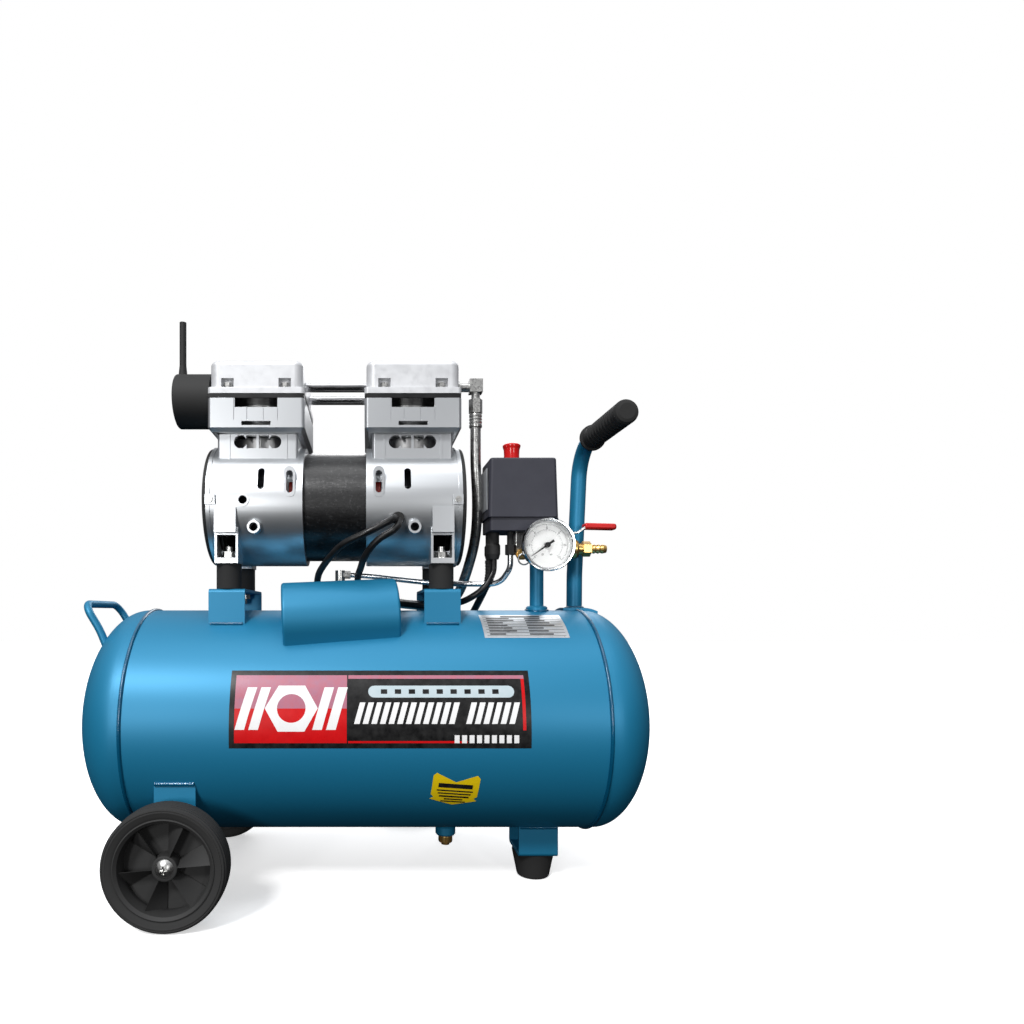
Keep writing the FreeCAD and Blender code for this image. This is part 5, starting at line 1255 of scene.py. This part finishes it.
@dataclass
class Wheel:
    """One wheel: a ribbed tyre on a moulded hub with six twisted vanes."""

    side: Side
    ridges: int = 6
    groove: float = 0.9 * MM
    vanes: int = 6
    vane_spread: float = 24.0
    first_vane: float = 77.0
    rim: float = 46.7 * MM
    bore: float = 6.1 * MM
    boss: float = 12.0 * MM
    screw_seat: float = 7.4 * MM

    def build(self) -> None:
        """Makes the tyre and the hub in place of the plain ones."""
        self.word, self.sign = self.side.value
        box_low, box_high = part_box(f"tyre_{self.word}")
        self.centre = (Vector(box_low) + Vector(box_high)) / 2
        self.radius = (box_high[2] - box_low[2]) / 2
        self.half = (box_high[1] - box_low[1]) / 2
        self.tyre()
        self.hub()

    def tyre(self) -> None:
        """The tyre: rounded shoulders, ribs round the tread and two fine rings on each wall."""
        outer, half = self.radius, self.half
        bead = self.rim - 0.3 * MM
        wall = [(bead, 0.80), (bead + 1.2 * MM, 0.86), (bead + 3.0 * MM, 0.92), (outer - 6.0 * MM, 0.97),
                (outer - 5.4 * MM, 1.0), (outer - 4.6 * MM, 1.0), (outer - 4.2 * MM, 0.955),
                (outer - 3.6 * MM, 0.955), (outer - 3.2 * MM, 0.985), (outer - 2.2 * MM, 0.96)]
        profile = [(radius, -along * half) for radius, along in wall]
        tread = 0.86 * half
        pitch = 2 * tread / self.ridges
        crown = outer - 0.7 * MM
        for rib in range(self.ridges):
            start = -tread + rib * pitch
            rise = 0.7 * MM * math.cos((rib + 0.5 - self.ridges / 2) / self.ridges * math.pi)
            top = crown + rise
            profile += [(top - self.groove, start + 0.1 * pitch), (top, start + 0.28 * pitch),
                        (top, start + 0.72 * pitch), (top - self.groove, start + 0.9 * pitch)]
        profile += [(radius, along * half) for radius, along in reversed(wall)]
        tyre = turned(f"tyre_{self.word}_ribbed", Axis.Y, self.centre, profile, TYRE_RUBBER,
                      f"{self.word}_wheel", 144, closed=True, angle=26.0)
        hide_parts(f"tyre_{self.word}")

    def hub(self) -> None:
        """The hub: rim, boss and vanes."""
        face = self.half * 0.78
        rim, bore, boss = self.rim, self.bore, self.boss
        work = bmesh.new()
        half_rim = [(0.3, 0.0), (0.3, 1.2), (1.4, 1.6), (4.2, -0.6), (5.4, -5.5)]
        rim_profile = [(rim - depth * MM, -face - rise * MM) for depth, rise in half_rim]
        rim_profile += [(rim - 6.4 * MM, -1.0 * MM), (rim - 6.4 * MM, 1.0 * MM)]
        rim_profile += [(rim - depth * MM, face + rise * MM) for depth, rise in reversed(half_rim)]
        lathe(work, Axis.Y, self.centre, rim_profile, 120, closed=True)
        inner_end = -self.sign * (self.half + 10.5 * MM)
        outer_end = self.sign * self.screw_seat
        boss_profile = [(bore, outer_end), (boss - 1.6 * MM, outer_end),
                        (boss - 0.5 * MM, outer_end - self.sign * 0.5 * MM),
                        (boss, outer_end - self.sign * 2.0 * MM), (boss + 0.6 * MM, 0.0),
                        (boss, inner_end + self.sign * 1.0 * MM), (boss - 1.0 * MM, inner_end),
                        (bore, inner_end)]
        lathe(work, Axis.Y, self.centre, boss_profile, 64, closed=True)
        for index in range(self.vanes):
            turn = math.radians(self.first_vane + 360.0 / self.vanes * index)
            self.vane(work, turn, boss, rim - 5.2 * MM, face)
        self.web(work, boss, rim - 4.2 * MM)
        hub = made(f"hub_{self.word}_vaned", work, HUB_PLASTIC, f"{self.word}_wheel", 30.0)
        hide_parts(f"wheel_{self.word}")

    def vane(self, work: bmesh.types.BMesh, angle: float, start: float, end: float, depth: float) -> None:
        """One twisted vane, leaning from the outer face to the inner one as it goes round."""
        spread = math.radians(self.vane_spread)
        steps, across = 8, 8
        sheets = []
        for thickness in (0.0, 1.8 * MM):
            grid = []
            for row in range(steps + 1):
                radius = start - 0.5 * MM + (end - start + 1.0 * MM) * row / steps
                line = []
                for column in range(across + 1):
                    share = column / across
                    turn = angle + spread * (share - 0.5)
                    along = self.sign * (depth * (0.72 - 1.25 * share) - thickness)
                    line.append(work.verts.new(self.centre + Axis.Y.place(radius, turn, along)))
                grid.append(line)
            sheets.append(grid)
        front, back = sheets
        for row in range(steps):
            for column in range(across):
                for grid in (front, back):
                    work.faces.new((grid[row][column], grid[row + 1][column], grid[row + 1][column + 1],
                                    grid[row][column + 1]))
        loop = ([(row, 0) for row in range(steps)] + [(steps, column) for column in range(across)]
                + [(row, across) for row in range(steps, 0, -1)]
                + [(0, column) for column in range(across, 0, -1)])
        for (row, column), (next_row, next_column) in zip(loop, loop[1:] + loop[:1]):
            work.faces.new((front[row][column], front[next_row][next_column], back[next_row][next_column],
                            back[row][column]))

    def web(self, work: bmesh.types.BMesh, start: float, end: float) -> None:
        """The thin disc behind the vanes that joins the boss to the rim."""
        level = -self.sign * self.half * 0.5
        back = level - self.sign * 2.0 * MM
        inner, outer = start - 0.5 * MM, end + 0.3 * MM
        profile = [(inner, level), (outer, level), (outer, back), (inner, back)]
        lathe(work, Axis.Y, self.centre, profile, 96, closed=True)


# ---------------------------------------------------------------- cables


@dataclass
class Cabling:
    """The motor leads, their grommet, and the mains cord with its coil and plug."""

    cord_radius: float = 4.0 * MM
    drop_route: tuple[Point, ...] = (
        (139.0, 2.0, 348.0), (139.0, 2.0, 330.7), (131.0, 5.0, 312.7), (126.0, 21.6, 297.8),
        (124.0, 62.25, 283.0), (123.0, 98.1, 251.85), (122.0, 119.7, 209.5), (120.0, 124.3, 168.7),
        (117.0, 124.5, 110.0), (114.0, 126.5, 66.0), (112.0, 133.5, 30.0), (111.0, 153.5, 7.0),
        (110.0, 179.5, 4.0), (110.0, 203.5, 4.0))
    coil_centre: tuple[float, float] = (62.0, 222.5)
    turn_radius: float = 49.0
    inner_radius: float = 40.2
    layer: float = 8.4
    turn_steps: int = 24
    coil_steps: int = 103
    pin_spread: float = 9.5 * MM
    relief_length: float = 30.0 * MM
    tail_route: tuple[Point, ...] = (
        (50.0, 271.5, 20.8), (38.0, 271.5, 20.8), (26.0, 271.2, 18.6), (14.0, 270.6, 14.2),
        (3.0, 270.5, 10.6), (-5.0, 270.5, 10.0), (-12.0, 270.5, 10.0))
    cord_length: float = 1.76

    def build(self) -> None:
        """Dresses the leads and lays the mains cord."""
        dressed("control_leads", CABLE)
        softened("lead_grommet", BLACK_RUBBER, 0.3 * MM)
        route = [*self.drop_route, *self.coil(), *self.tail_route]
        cord = smooth_curve("mains_cord_laid", [[value * MM for value in point] for point in route],
                            self.cord_radius)
        cord.data.materials.append(CABLE.material())
        cord["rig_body"] = "frame"
        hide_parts("mains_cord", "mains_coil", "mains_plug")
        leaving = [Vector(point) * MM for point in self.drop_route[:5]]
        relief = self.relief("mains_cord_relief", centreline(leaving, 0.5 * MM))
        plug_end = [Vector(point) * MM for point in reversed(self.tail_route)]
        second = self.relief("mains_plug_relief", centreline(plug_end, 0.5 * MM))
        plug = self.plug()

    def coil(self) -> list[Point]:
        """Four turns and a quarter, in three layers, stepping in, up, out and up again."""
        result = []
        for step in range(self.coil_steps):
            turn = step / self.turn_steps
            radius, level = self.turn_radius, self.cord_radius / MM
            for start, change in ((0.80, -1.0), (2.47, 1.0)):
                radius += change * (self.turn_radius - self.inner_radius) * eased((turn - start) * 6.0)
            for start in (1.67, 3.28):
                level += self.layer * eased((turn - start) * 6.0)
            angle = math.tau * turn
            result.append((self.coil_centre[0] + radius * math.cos(angle),
                           self.coil_centre[1] + radius * math.sin(angle), level))
        return result

    def relief(self, name: str, line: Sequence[Vector]) -> bpy.types.Object:
        """A tapered, ribbed rubber sleeve along the first part of a line."""
        length = self.relief_length
        count = round(length / (0.5 * MM))
        work = bmesh.new()

        def reach(along: float, angle: float) -> float:
            """The sleeve's radius at a distance along it."""
            share = along / length
            rib = 0.35 * MM if math.sin(math.tau * along / (3.6 * MM)) > 0.0 else 0.0
            return self.cord_radius + (2.9 - 2.5 * share) * MM - rib

        tube(work, line[:count], reach, 40)
        return made(name, work, BLACK_RUBBER, angle=40.0)

    def plug(self) -> list[bpy.types.Object]:
        """The moulded plug: a waisted body and two round brass pins."""
        centre = [value * MM for value in self.tail_route[-1]]
        profile = [(0.0, -8.0), (7.2, -8.0), (8.2, -6.0), (8.4, 3.0), (9.4, 6.0), (9.8, 14.0), (9.8, 28.0),
                   (9.2, 29.6), (0.0, 30.0)]
        work = bmesh.new()
        lathe(work, Axis.X, centre, [(reach * MM, -along * MM) for reach, along in profile], 48)
        for vertex in work.verts:
            vertex.co.y = centre[1] + (vertex.co.y - centre[1]) * 1.42
        pieces = [made("mains_plug_body", work, BLACK_RUBBER, angle=40.0)]
        pin = [(0.0, 0.0), (2.4, 0.0), (2.4, 16.5), (1.6, 18.6), (0.0, 19.0)]
        for side, word in ((-1.0, "left"), (1.0, "right")):
            spot = (centre[0] - 29.0 * MM, centre[1] + side * self.pin_spread, centre[2])
            pieces.append(turned(f"mains_pin_{word}", Axis.X, spot, [(r * MM, -x * MM) for r, x in pin],
                                 BRASS))
        return pieces


def eased(share: float) -> float:
    """A smooth step from 0 to 1."""
    share = min(max(share, 0.0), 1.0)
    return share * share * (3.0 - 2.0 * share)


def main() -> None:
    """Builds the machine's groups in order."""
    Studio().build()
    for group in (Receiver(), Pump(), Pipework(), Controls(), Wheel(Side.FRONT), Wheel(Side.BACK), Cabling()):
        group.build()


if __name__ == "__main__":
    logging.basicConfig(level=logging.INFO, format="%(name)s: %(message)s")
    main()
